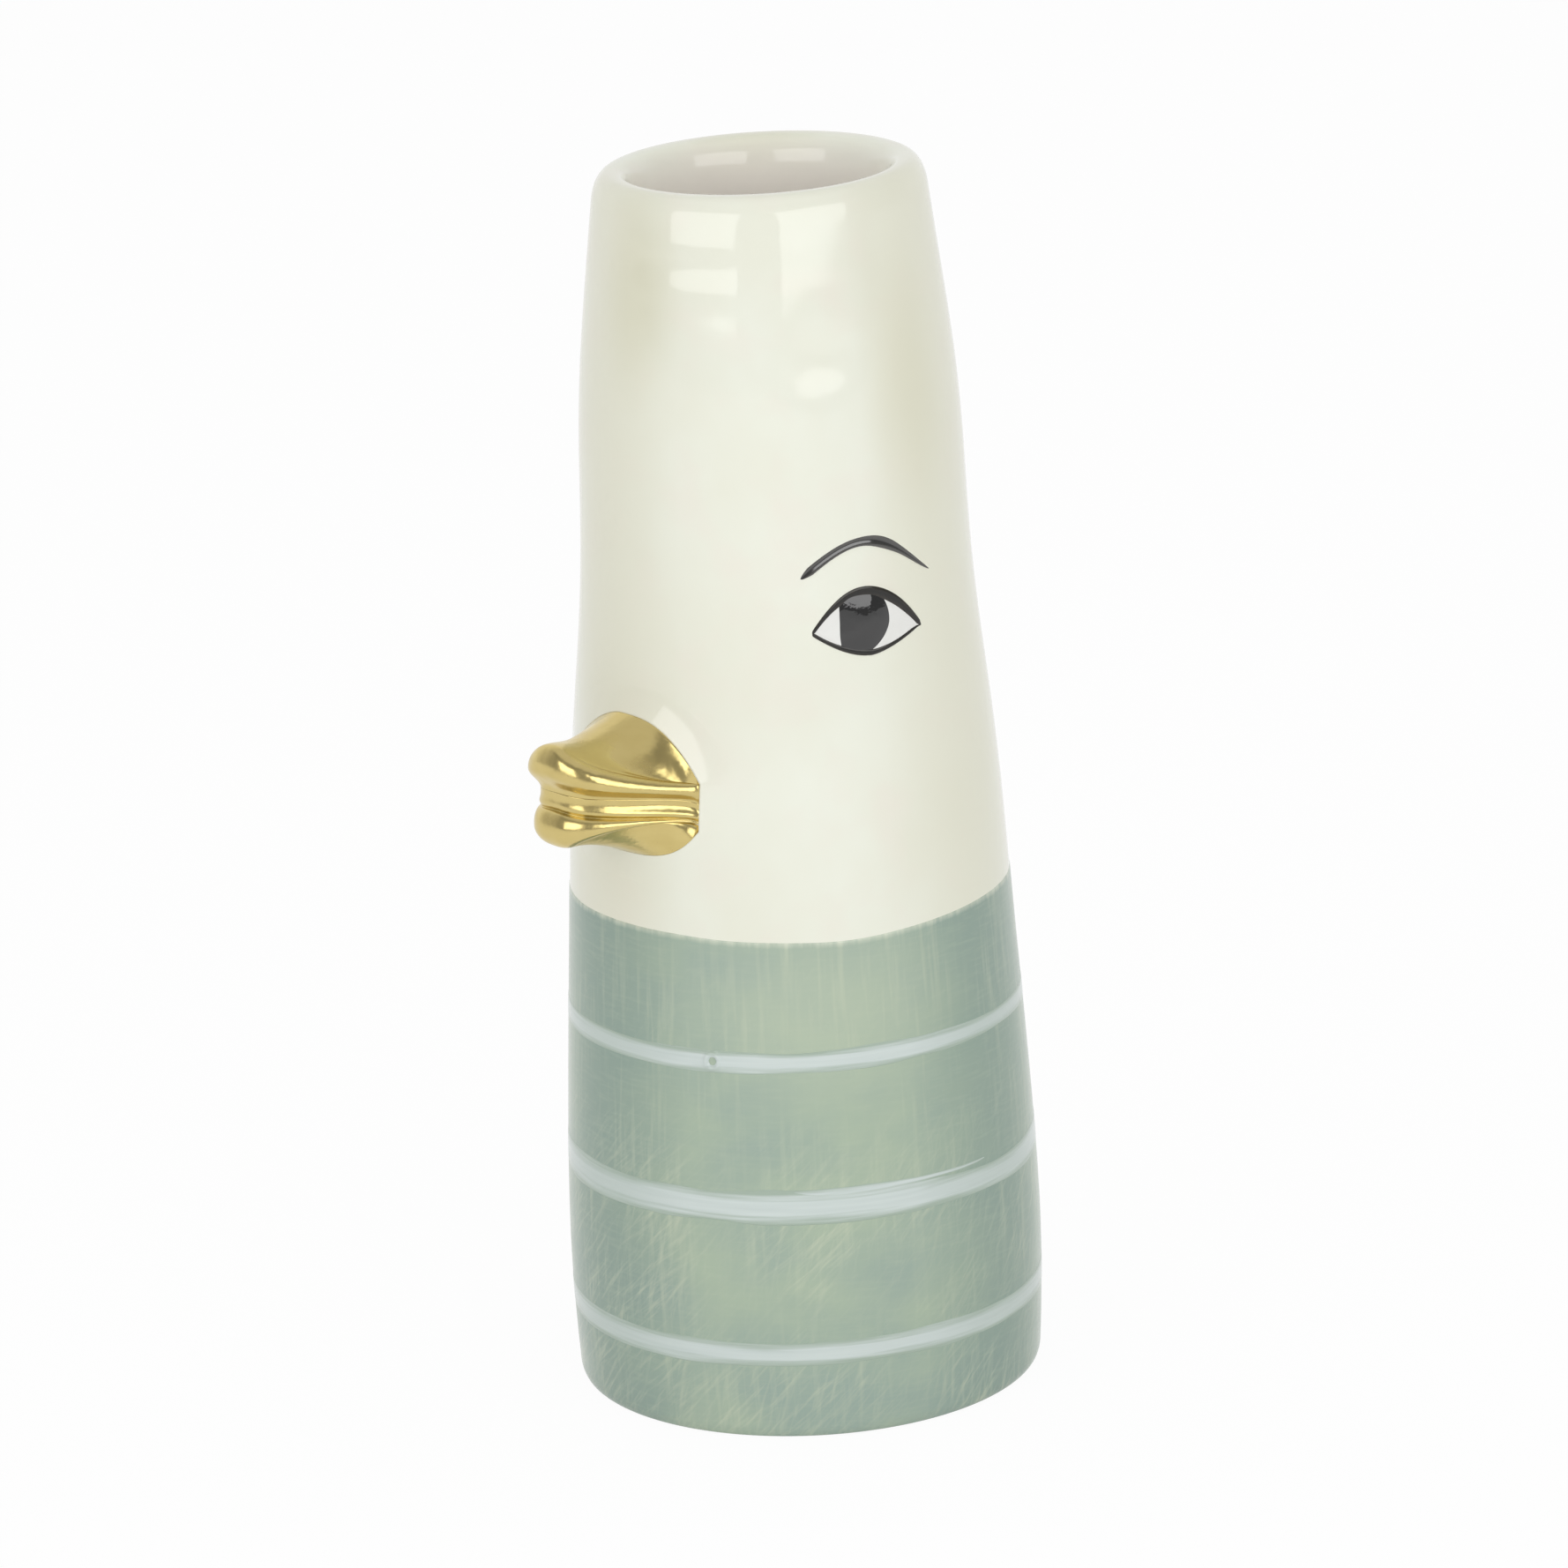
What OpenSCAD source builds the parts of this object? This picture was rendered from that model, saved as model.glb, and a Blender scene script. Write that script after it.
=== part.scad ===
// Duck vase: a tall tapered ceramic vase with a gold bill, painted eyes and a
// striped green lower half. It stands on a flat foot centred on the origin, +Z is
// up, and the bill points along -Y. All sizes are in millimetres.

/* [Vase] */
// Height from the table to the top of the lip
height = 180; // [172:1:230]
// Widest diameter, low on the body
belly_d = 69; // [64:0.2:80]
// Height of the widest diameter
belly_z = 24; // [15:1:40]
// How far the foot's edge sits inside the belly, on each side
foot_in = 0.5; // [0:0.1:3]
// How far the wall sits inside the belly where the green half ends
band_in = 2.5; // [1.5:0.05:3.5]
// Height where the green half ends and the cream half starts
band_z = 74.5; // [64:0.5:79]
// How far the wall sits inside the belly behind the bill
chest_in = 3.8; // [3:0.05:5]
// How far the wall sits inside the belly at the eyes
face_in = 6; // [5:0.05:7]
// How far the wall sits inside the belly at the crown, above the brows
crown_in = 7.6; // [7:0.05:9]
// Height of the crown
crown_z = 150; // [142:1:160]
// How far the wall sits inside the belly where the rounded lip starts
lip_in = 10.65; // [9:0.05:12]
// Height of the rounded lip
lip_h = 4; // [2:0.1:6]
// Thickness of the clay wall
wall = 3.3; // [2.6:0.1:5]
// Thickness of the clay floor
floor_t = 6; // [4:0.5:10]
// Rounding where the inside wall meets the floor
floor_r = 8; // [3:0.5:12]
// Bevel round the bottom edge
foot_bevel = 0.8; // [0.4:0.1:2]

/* [Glaze] */
// Thickness of each glaze coat
coat = 0.5; // [0.3:0.05:0.8]
// Depth that each stripe sinks into the green coat
stripe_sink = 0.25; // [0.1:0.01:0.28]
// How far the painted lines and eyes stand proud
paint_t = 0.2; // [0.1:0.02:0.5]
// Middle of the lowest stripe
low_stripe_z = 13.1; // [6:0.1:20]
// Width of the lowest stripe
low_stripe_w = 3; // [1:0.1:5]
// Middle of the second stripe
mid_stripe_z = 35.3; // [28:0.1:44]
// Width of the second stripe
mid_stripe_w = 4; // [1:0.1:6]
// Middle of the highest stripe
top_stripe_z = 56.8; // [50:0.1:60]
// Width of the highest stripe
top_stripe_w = 2.5; // [1:0.1:5]

/* [Eyes] */
// Angle round the vase from the bill to the middle of each eye
eye_angle = 76; // [60:1:90]
// Height of the line through the corners of the eye
eye_z = 117.7; // [114:0.1:124]
// Distance between the corners of the eye
eye_w = 17.4; // [14:0.1:20]
// Angle at which the eye drops towards the back of the head
eye_tilt = 5; // [0:0.5:12]
// Height of the upper lid over the line of the corners
upper_lid_rise = 6.3; // [5:0.1:8]
// Depth of the lower lid under the line of the corners
lower_lid_drop = 3.2; // [2:0.1:5]
// Thickness of the upper lid line at its middle
upper_lid_t = 1.4; // [0.6:0.1:2]
// Thickness of the lower lid line at its middle
lower_lid_t = 0.65; // [0.4:0.05:1.2]
// Length of each lid line's solid corner
lid_corner = 0.5; // [0.2:0.05:1]
// Diameter of the iris
iris_d = 8; // [7.6:0.1:9]
// Distance of the iris from the middle of the eye, towards the bill
iris_shift = 0.8; // [0:0.1:2]
// Height of the middle of the iris over the line of the corners
iris_rise = 1.25; // [0:0.05:2]
// Distance between the ends of the brow
brow_w = 20.8; // [16:0.1:22]
// Height of the ends of the brow over the corners of the eye
brow_rise = 8.1; // [7.5:0.1:12]
// Height of the brow's arch over its ends
brow_arch = 5.3; // [3:0.1:7]
// Thickness of the brow at its middle
brow_t = 1.3; // [0.6:0.1:2.4]

/* [Bill] */
// Height of the middle of the bill, from which its lines are measured
bill_z = 95.8; // [94:0.1:101]
// Reach of the bill in front of the vase
bill_reach = 14.2; // [10:0.1:20]
// Angle round the vase from the middle of the bill to its corner
bill_half_angle = 26; // [20:0.5:30]
// Height of the root's arch at the middle
root_rise = 10.2; // [8.8:0.1:12]
// Height of the upper half at the corners of the bill
corner_rise = 1.6; // [1:0.1:3]
// Height of the upper lip's ridge at the tip
ridge_rise = 8.2; // [5:0.1:8.6]
// Depth of the root at the middle
root_drop = 9.7; // [8:0.1:11]
// Depth of the root at the corners of the bill
corner_drop = 5.2; // [4.9:0.1:6]
// Height of the mouth line at the tip
mouth_rise = 1.3; // [0.4:0.1:2]
// Depth of the mouth line at the corners
mouth_fall = 1.8; // [1:0.1:2.4]
// Depth of the groove over the lower lip at the tip
groove_drop = 1.4; // [0.8:0.1:2.2]
// Depth of that groove at the corners
groove_fall = 4.3; // [3.6:0.1:4.4]
// Height of the lower lip at the tip
chin_h = 5.6; // [4:0.1:7]
// Width of the rolled upper lip
lip_roll = 1.8; // [1:0.1:2.6]
// Width of the rolled lower lip
chin_roll = 2.8; // [1.5:0.1:3.4]
// Depth of the notch between the lips at the tip
mouth_notch = 1.7; // [0.8:0.1:2.2]
// Distance that the lower lip stays behind the upper lip
chin_inset = 0.2; // [0:0.05:0.8]
// Hollow of the saddle between the root and the upper lip
saddle_dip = 0.35; // [0:0.05:0.8]
// Hollow behind the upper lip, half way to the corners
side_dip = 0.5; // [0:0.05:0.8]
// Thickness of the clay collar round the root of the bill
collar_t = 0.8; // [0.4:0.1:1.5]
// Width of the clay collar
collar_w = 3; // [1.5:0.1:4]

/* [Hidden] */

$fn = 180;
clay = "#d9cbb3";
cream = "#e8e6d7";
liner = "#dcd6cd";
green = "#b2c1ae";
pale = "#c4cfca";
gold = "#bea95f";
eye_white = "#f0efeb";
iris_dark = "#3c3a38";
line_dark = "#2f2d2b";

lip_z = height - lip_h;
skin = wall + coat;
floor_z = floor_t + coat;
belly_r = belly_d / 2;
// Heights and radii that the outline of the vase passes through
stations = [[0, belly_r - foot_in], [belly_z, belly_r], [band_z, belly_r - band_in],
    [bill_z, belly_r - chest_in], [eye_z, belly_r - face_in],
    [crown_z, belly_r - crown_in], [lip_z, belly_r - lip_in]];
last = len(stations) - 1;
low_steps = 18;
high_steps = 26;
inner_steps = 36;
round_steps = 16;
low_heights = spread(foot_bevel, band_z, low_steps);
high_heights = spread(band_z, lip_z, high_steps);

// Evenly spaced values from a to b
function spread(a, b, steps) = [for (i = [0 : steps]) a + (b - a) * i / steps];
function blend(a, b, s) = a + (b - a) * s;
function reversed(list) = [for (i = [len(list) - 1 : -1 : 0]) list[i]];

// Outer radius of the finished vase at a height: a cubic curve through the
// stations, whose slope at each one points from the station below to the one above
function span_of(z, i = 0) = (i == last - 1 || z <= stations[i + 1][0]) ? i : span_of(z, i + 1);
function slope(i) =
    let (low = stations[max(i - 1, 0)], high = stations[min(i + 1, last)])
    (high[1] - low[1]) / (high[0] - low[0]);
function outer_r(z) =
    let (i = span_of(z), low = stations[i], high = stations[i + 1])
    let (run = high[0] - low[0], s = (z - low[0]) / run)
    (2 * s ^ 3 - 3 * s ^ 2 + 1) * low[1] + (s ^ 3 - 2 * s ^ 2 + s) * run * slope(i)
        + (3 * s ^ 2 - 2 * s ^ 3) * high[1] + (s ^ 3 - s ^ 2) * run * slope(i + 1);

// The outline moved inwards by a depth, at the given heights
function side(heights, depth) = [for (z = heights) [outer_r(z) - depth, z]];

// Half ellipse over the lip, from its outside to its inside
function lip_arc(cover) =
    let (middle = outer_r(lip_z) - coat - wall / 2)
    [for (i = [1 : round_steps - 1])
        let (a = 180 * i / round_steps)
        [middle + (wall / 2 + cover) * cos(a), lip_z + (lip_h - coat + cover) * sin(a)]];

// Inside wall from the lip down, its round corner and the middle of the floor
function hollow(depth, bottom) =
    let (corner_z = bottom + floor_r, centre_r = outer_r(corner_z) - depth - floor_r)
    concat(side(spread(lip_z, corner_z, inner_steps), depth),
        [for (i = [1 : round_steps])
            let (a = 90 * i / round_steps)
            [centre_r + floor_r * cos(a), corner_z - floor_r * sin(a)]],
        [[0, bottom]]);

module clay_body() {
    color(clay)
    rotate_extrude()
    polygon(concat([[0, 0], [outer_r(0) - coat - foot_bevel, 0]], side(low_heights, coat),
        side(high_heights, coat), lip_arc(0), hollow(skin, floor_t)));
}

module coat_shell(heights) {
    rotate_extrude()
    polygon(concat(side(heights, 0), reversed(side(heights, coat))));
}

module cream_glaze() {
    color(cream)
    difference() {
        rotate_extrude()
        polygon(concat(side(high_heights, 0), lip_arc(coat),
            [[outer_r(lip_z) - skin - coat, lip_z], [outer_r(lip_z) - skin, lip_z]],
            reversed(lip_arc(0)), reversed(side(high_heights, coat))));
        rotate([90, 0, 0])
        linear_extrude(height = height)
        polygon(root_outline);
    }
}

module liner_glaze() {
    color(liner)
    rotate_extrude()
    polygon(concat(hollow(skin + coat, floor_z), reversed(hollow(skin, floor_t))));
}

// Ring of paint between two heights, from a depth in the coat to a height over it
module ring(middle, width, depth, proud) {
    ends = [middle - width / 2, middle + width / 2];
    rotate_extrude()
    polygon(concat(side(ends, depth), reversed(side(ends, -proud))));
}

module green_glaze() {
    color(green)
    difference() {
        coat_shell(low_heights);
        ring(low_stripe_z, low_stripe_w, stripe_sink, coat);
        ring(mid_stripe_z, mid_stripe_w, stripe_sink, coat);
        ring(top_stripe_z, top_stripe_w, stripe_sink, coat);
    }
}

module stripe_low() {
    color(pale)
    ring(low_stripe_z, low_stripe_w, stripe_sink, paint_t);
}

module stripe_mid() {
    color(pale)
    ring(mid_stripe_z, mid_stripe_w, stripe_sink, paint_t);
}

module stripe_top() {
    color(pale)
    ring(top_stripe_z, top_stripe_w, stripe_sink, paint_t);
}

// Disc under an arc that rises over a chord on the line of the eye's corners
module arc_disc(chord, rise) {
    r = ((chord / 2) ^ 2 + rise ^ 2) / (2 * rise);
    translate([0, rise - r, 0])
    cylinder(h = height, r = r);
}

// Almond between an arc above and an arc below
module almond(chord, rise, drop) {
    intersection() {
        arc_disc(chord, rise);
        mirror([0, 1, 0])
        arc_disc(chord, drop);
    }
}

module eye_outside() {
    almond(eye_w, upper_lid_rise, lower_lid_drop);
}

module eye_opening() {
    almond(eye_w - 2 * lid_corner, upper_lid_rise - upper_lid_t, lower_lid_drop - lower_lid_t);
}

module iris_disc() {
    translate([-iris_shift, iris_rise, 0])
    cylinder(h = height, d = iris_d);
}

// Paint on the outside of the vase, seen square on at the left eye
module painted() {
    intersection() {
        rotate_extrude()
        polygon(concat(side(high_heights, 0), reversed(side(high_heights, -paint_t))));
        rotate([0, 0, eye_angle])
        rotate([90, 0, 0])
        translate([0, eye_z, 0])
        rotate([0, 0, -eye_tilt])
        children();
    }
}

module eye_white() {
    color(eye_white)
    painted()
    difference() {
        eye_opening();
        iris_disc();
    }
}

module iris() {
    color(iris_dark)
    painted()
    intersection() {
        eye_opening();
        iris_disc();
    }
}

module lid_line() {
    color(line_dark)
    painted()
    difference() {
        eye_outside();
        eye_opening();
    }
}

module brow() {
    color(line_dark)
    painted()
    translate([0, brow_rise, 0])
    difference() {
        arc_disc(brow_w, brow_arch);
        arc_disc(brow_w, brow_arch - brow_t);
    }
}

module other_side() {
    mirror([1, 0, 0])
    children();
}

// The bill is a row of upright sections from its right corner to its left one. A
// section's turn is 0 at the tip of the bill and near 90 degrees at the corners.
bill_steps = 48;
bill_turn = 86;
turns = spread(-bill_turn, bill_turn, bill_steps);
saddle_steps = 11;
roll_steps = 6;
collar_steps = 5;
collar_edge = 0.12;
// Shares of the lips' heights at which they reach furthest forward
front_share = 0.66;
chin_share = 0.62;
// Height of the lower lip at the corners, where it fades out
chin_side = 0.4;
// How far the second ridge stays in the notch at the corners and at the tip
second_side = 0.2;
second_tip = 0.9;
// Powers of the bill's plan: a blunt tip, soft shoulders and straight flanks
width_power = 3;
depth_power = 1.5;
// Powers that set how fast each line bends. The bill was formed by hand: the arch of
// its root runs further to the left, and its lower lip further to the right.
arch_left_power = 2.9;
arch_right_power = 1.6;
chin_left_power = 5;
chin_right_power = 2;
ridge_power = 3.2;
root_power = 4.5;
mouth_power = 1.2;
groove_power = 1.6;
roll_power = 0.8;
notch_power = 0.6;
inset_power = 2;
saddle_power = 3.2;
dip_power = 1.5;
under_power = 1.8;
// Half the turn over which the direction of the outline is measured
turn_step = 0.5;

root_r = outer_r(bill_z) + collar_t;
corner_x = root_r * sin(bill_half_angle);
corner_y = root_r * cos(bill_half_angle);
tip_y = outer_r(bill_z) + bill_reach;

function bill_x(turn) = corner_x * sin(turn);
function lip_y(turn) =
    blend(corner_y, tip_y, (1 - abs(sin(turn)) ^ width_power) ^ depth_power);
function lip_xy(turn) = [bill_x(turn), lip_y(turn)];
// Outward direction of the lip's outline, seen from above
function lip_normal(turn) =
    let (along = lip_xy(turn + turn_step) - lip_xy(turn - turn_step))
    [-along[1], along[0]] / norm(along);
// Distance in front of the axis of a point over the vase's surface
function face_y(x, z, over) = sqrt((outer_r(z) + over) ^ 2 - x ^ 2);

// Heights of the bill's main lines over its middle, by turn
function arch_z(turn) =
    let (power = turn > 0 ? arch_left_power : arch_right_power)
    blend(root_rise, corner_rise, abs(sin(turn)) ^ power);
function ridge_z(turn) = blend(corner_rise, ridge_rise, cos(turn) ^ ridge_power);
function mouth_z(turn) = blend(-mouth_fall, mouth_rise, cos(turn) ^ mouth_power);
function groove_z(turn) = -blend(groove_fall, groove_drop, cos(turn) ^ groove_power);
function chin_z(turn) =
    let (power = turn > 0 ? chin_left_power : chin_right_power)
    groove_z(turn) - blend(chin_side, chin_h, cos(turn) ^ power);
function root_z(turn) = -blend(root_drop, corner_drop, abs(sin(turn)) ^ root_power);
// Depths of the lines behind the lip's outline, kept small near the corners
function notch_in(turn) = mouth_notch * cos(turn) ^ notch_power;
function second_in(turn) = notch_in(turn) * blend(second_side, second_tip, cos(turn));
function chin_in(turn) = blend(notch_in(turn), chin_inset, cos(turn) ^ inset_power);
function dip_z(turn) = saddle_dip * cos(turn) + side_dip * sin(2 * turn) ^ 2;
// Smooth step from 0 to 1
function ease(s) = (1 - cos(180 * s)) / 2;

// A point of a section: a distance behind the lip's outline and a height
function lip_point(turn, depth, z) =
    let (p = lip_xy(turn) - depth * lip_normal(turn))
    [p[0], -p[1], bill_z + z];
// A point of a section on the vase, over its surface by a height
function root_point(turn, z, over) =
    [bill_x(turn), -face_y(bill_x(turn), bill_z + z, over), bill_z + z];

// Section of the upper half: root, saddle, rolled lip, front and mouth
function upper_section(turn) =
    let (mouth = mouth_z(turn), ridge = ridge_z(turn), front = blend(mouth, ridge, front_share))
    let (roll = lip_roll * cos(turn) ^ roll_power, notch = notch_in(turn), dip = dip_z(turn))
    let (root = root_point(turn, arch_z(turn), collar_t), crest = lip_point(turn, roll, ridge))
    concat([root_point(turn, arch_z(turn), -coat), root],
        [for (i = [1 : saddle_steps])
            let (s = i / saddle_steps, fall = (1 - s) ^ saddle_power)
            [blend(root[0], crest[0], s), blend(root[1], crest[1], s),
                blend(crest[2], root[2], fall) - dip * sin(180 * s ^ dip_power) ^ 2]],
        [for (i = [1 : roll_steps])
            let (a = 90 - 90 * i / roll_steps)
            lip_point(turn, roll * (1 - cos(a)), blend(front, ridge, sin(a)))],
        [for (i = [1 : roll_steps])
            let (s = i / roll_steps)
            lip_point(turn, notch * ease(s), blend(front, mouth, s))],
        [root_point(turn, mouth, collar_t), root_point(turn, mouth, -coat)]);

// Section of the lower half: mouth, second ridge, rolled lip, underside and root
function lower_section(turn) =
    let (mouth = mouth_z(turn), groove = groove_z(turn), chin = chin_z(turn))
    let (front = blend(groove, chin, chin_share), roll = chin_roll * cos(turn) ^ roll_power)
    let (notch = notch_in(turn), second = second_in(turn), inset = chin_in(turn))
    let (root = root_point(turn, root_z(turn), collar_t), keel = lip_point(turn, roll, chin))
    concat([root_point(turn, mouth, -coat), root_point(turn, mouth, collar_t)],
        [for (i = [0 : roll_steps])
            let (s = i / roll_steps, bump = sin(180 * s ^ 2) ^ 2)
            lip_point(turn, blend(notch, second, bump), blend(mouth, groove, s))],
        [for (i = [1 : roll_steps])
            let (s = i / roll_steps)
            lip_point(turn, blend(notch, inset, ease(s)), blend(groove, front, s))],
        [for (i = [1 : roll_steps])
            let (a = 90 * i / roll_steps)
            lip_point(turn, blend(roll, inset, cos(a)), blend(front, chin, sin(a)))],
        [for (i = [1 : saddle_steps])
            let (s = i / saddle_steps)
            [blend(keel[0], root[0], s), blend(keel[1], root[1], s),
                blend(keel[2], root[2], s ^ under_power)]],
        [root_point(turn, root_z(turn), -coat)]);

// Triangles that close the end of a loft, between the two sides of its section
function end_strip(j, ring_size) =
    let (far = ring_size - 1 - j)
    far - 1 > j + 1 ? [[j, j + 1, far], [j + 1, far - 1, far]]
    : far > j + 1 ? [[j, j + 1, far]] : [];

// Solid through a row of sections that have the same number of points
module loft(sections, closed) {
    rows = len(sections);
    ring_size = len(sections[0]);
    spans = closed ? rows : rows - 1;
    walls = [for (i = [0 : spans - 1], j = [0 : ring_size - 1], half = [0, 1])
        let (a = i * ring_size, b = (i + 1) % rows * ring_size, k = (j + 1) % ring_size)
        half == 0 ? [a + j, b + j, b + k] : [a + j, b + k, a + k]];
    first_end = [for (j = [0 : ring_size / 2 - 1]) each end_strip(j, ring_size)];
    last_end = [for (face = first_end) reversed([for (k = face) (rows - 1) * ring_size + k])];
    polyhedron(points = [for (section = sections) each section],
        faces = closed ? walls : concat(walls, first_end, last_end));
}

// Outline of the bill's root, seen from the front
root_outline = concat(
    [for (turn = turns) [bill_x(turn), bill_z + arch_z(turn)]],
    [for (turn = reversed(turns)) [bill_x(turn), bill_z + root_z(turn)]]);

// Outward direction at a point of the root's outline
function outline_normal(i) =
    let (count = len(root_outline))
    let (along = root_outline[(i + 1) % count] - root_outline[(i + count - 1) % count])
    [-along[1], along[0]] / norm(along);

function collar_point(i, s, over) =
    let (p = root_outline[i] + outline_normal(i) * collar_w * s)
    [p[0], -face_y(p[0], p[1], over), p[1]];

// Section of the collar: under side from the bill outwards, then its hollow face back
function collar_section(i) = concat(
    [for (s = spread(0, 1, collar_steps)) collar_point(i, s, 0)],
    [for (s = spread(1, 0, collar_steps))
        collar_point(i, s, blend(collar_edge, collar_t, (1 - s) ^ 2))]);

module bill_collar() {
    color(cream)
    loft([for (i = [0 : len(root_outline) - 1]) collar_section(i)], true);
}

module bill_upper() {
    color(gold)
    loft([for (turn = turns) upper_section(turn)], false);
}

module bill_lower() {
    color(gold)
    loft([for (turn = turns) lower_section(turn)], false);
}

clay_body();
cream_glaze();
liner_glaze();
green_glaze();
stripe_low();
stripe_mid();
stripe_top();
bill_collar();
bill_upper();
bill_lower();
eye_white();  // left_eye_white
iris();  // left_iris
lid_line();  // left_lid_line
brow();  // left_brow
other_side() eye_white();  // right_eye_white
other_side() iris();  // right_iris
other_side() lid_line();  // right_lid_line
other_side() brow();  // right_brow
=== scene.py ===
# %% [markdown]
# # A duck vase, dressed for its picture
# The vase is slip-cast clay in the form of a standing duck: a tall tapered tube with a gold
# bill, two painted eyes, a cream glazed upper half and a green brushed lower half with three
# pale stripes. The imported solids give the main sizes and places. This lesson covers them with
# the glaze, paint and gold that the real vase has.

import bpy
import bmesh
import numpy as np
from mathutils import Matrix, Vector


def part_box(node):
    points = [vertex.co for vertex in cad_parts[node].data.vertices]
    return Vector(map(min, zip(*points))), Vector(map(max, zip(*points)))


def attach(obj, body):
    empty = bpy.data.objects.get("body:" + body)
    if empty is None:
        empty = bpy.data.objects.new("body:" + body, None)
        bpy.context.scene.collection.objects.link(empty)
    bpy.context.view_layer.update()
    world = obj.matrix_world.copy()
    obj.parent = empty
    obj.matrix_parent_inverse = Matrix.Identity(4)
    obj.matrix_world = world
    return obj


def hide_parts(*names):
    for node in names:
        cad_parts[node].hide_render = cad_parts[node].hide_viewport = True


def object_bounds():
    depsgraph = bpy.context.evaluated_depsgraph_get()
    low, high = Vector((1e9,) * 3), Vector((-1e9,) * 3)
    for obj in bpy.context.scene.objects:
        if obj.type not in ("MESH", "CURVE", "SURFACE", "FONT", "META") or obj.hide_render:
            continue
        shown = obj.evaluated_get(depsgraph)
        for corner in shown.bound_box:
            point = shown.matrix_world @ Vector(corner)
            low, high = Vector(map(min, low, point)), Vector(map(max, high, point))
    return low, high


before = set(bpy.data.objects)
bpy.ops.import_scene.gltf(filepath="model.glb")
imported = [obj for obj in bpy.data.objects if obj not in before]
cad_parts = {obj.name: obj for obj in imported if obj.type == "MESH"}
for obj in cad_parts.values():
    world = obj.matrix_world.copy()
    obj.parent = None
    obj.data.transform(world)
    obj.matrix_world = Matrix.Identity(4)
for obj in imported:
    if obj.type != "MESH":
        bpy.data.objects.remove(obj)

MM = 0.001
cad_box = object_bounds()
print("solids:", len(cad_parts), "box in mm:", [round(side / MM, 1) for side in cad_box[1]])

# %% [markdown]
# ## The camera
# The photograph looks down on the vase from its left front, through a long lens, and the
# camera was held a little off level, so that the vase seems to lean. A camera needs a place
# and three directions. They are worked out from two angles and a roll, and the lens follows
# from how large the vase is in the frame.

# %% Place the camera
CAMERA_TURN = np.radians(49.0)
CAMERA_RISE = np.radians(16.8)
CAMERA_ROLL = np.radians(2.55)
CAMERA_DISTANCE = 1.1
LENS_MM = 174.3
AIM_Z = 88.25 * MM
AIM_ASIDE = -0.27 * MM

towards_camera = np.array([np.sin(CAMERA_TURN) * np.cos(CAMERA_RISE),
                           -np.cos(CAMERA_TURN) * np.cos(CAMERA_RISE),
                           np.sin(CAMERA_RISE)])
camera_right = np.array([np.cos(CAMERA_TURN), np.sin(CAMERA_TURN), 0.0])
camera_up = np.cross(towards_camera, camera_right)
aim = np.array([0.0, 0.0, AIM_Z]) + AIM_ASIDE * camera_right

camera = bpy.data.objects.new("camera", bpy.data.cameras.new("camera"))
bpy.context.scene.collection.objects.link(camera)
bpy.context.scene.camera = camera
camera.data.sensor_width = 36.0
camera.data.lens = LENS_MM
facing = Matrix((camera_right, camera_up, towards_camera)).transposed()
camera.matrix_world = (Matrix.Translation(aim + CAMERA_DISTANCE * towards_camera)
                       @ facing.to_4x4() @ Matrix.Rotation(-CAMERA_ROLL, 4, "Z"))
print("camera at", [round(value, 3) for value in camera.matrix_world.translation])

# %% [markdown]
# ## The outline of the vase
# Everything on the outside follows one curve: the radius of the vase at each height. The
# solids carry it as rings of points, so it is measured from them. A polynomial through the
# rings is smooth in every derivative, and a shiny glaze shows any kink, so that is used
# instead of straight lines from ring to ring. A polynomial swings at its ends, so the outline
# is run on straight past the foot and the lip first. Rings at the bottom of a stripe's groove
# lie under the skin, and they are left out once a first curve has shown which ones they are.

# %% Measure the outline from the solids
TOUCH = 1e-6
RING_POINTS = 40
OUTLINE_DEGREE = 15
FIT_LIMITS = (0.15 * MM, 0.12 * MM, 0.12 * MM)
TOP_Z = cad_box[1].z
LIP_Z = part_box("liner_glaze")[1].z
BAND_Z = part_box("green_glaze")[1].z


def cad_points(node):
    """The corners of one solid's mesh, as an array of x, y, z in metres."""
    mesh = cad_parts[node].data
    flat = np.empty(len(mesh.vertices) * 3, np.float32)
    mesh.vertices.foreach_get("co", flat)
    return flat.reshape(-1, 3).astype(float)


skin = np.concatenate([cad_points("green_glaze"), cad_points("cream_glaze")])
levels, level_of, count = np.unique(skin[:, 2].round(6), return_inverse=True, return_counts=True)
widest = np.zeros(len(levels))
np.maximum.at(widest, level_of.ravel(), np.hypot(skin[:, 0], skin[:, 1]))
rings = (count > RING_POINTS) & (levels <= LIP_Z + TOUCH)
ring_z, ring_r = levels[rings], widest[rings]


def slope(first, last):
    """How much the radius grows with the height from one ring to another."""
    return float((ring_r[last] - ring_r[first]) / (ring_z[last] - ring_z[first]))


foot_slope, lip_slope = slope(0, 3), slope(-3, -1)
run_on = np.arange(1, 9) * 2 * MM
skin_z = np.concatenate([ring_z[0] - run_on[::-1], ring_z, ring_z[-1] + run_on])
skin_r = np.concatenate([ring_r[0] - foot_slope * run_on[::-1], ring_r, ring_r[-1] + lip_slope * run_on])
kept = np.ones(len(skin_z), bool)
for limit in FIT_LIMITS:
    outline = np.polynomial.Polynomial.fit(skin_z[kept], skin_r[kept], OUTLINE_DEGREE)
    kept = np.abs(outline(skin_z) - skin_r) < limit
print("rings used:", int(kept.sum()), "of", len(kept), "furthest off in mm:",
      round(np.abs(outline(skin_z) - skin_r)[kept].max() / MM, 3))

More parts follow.
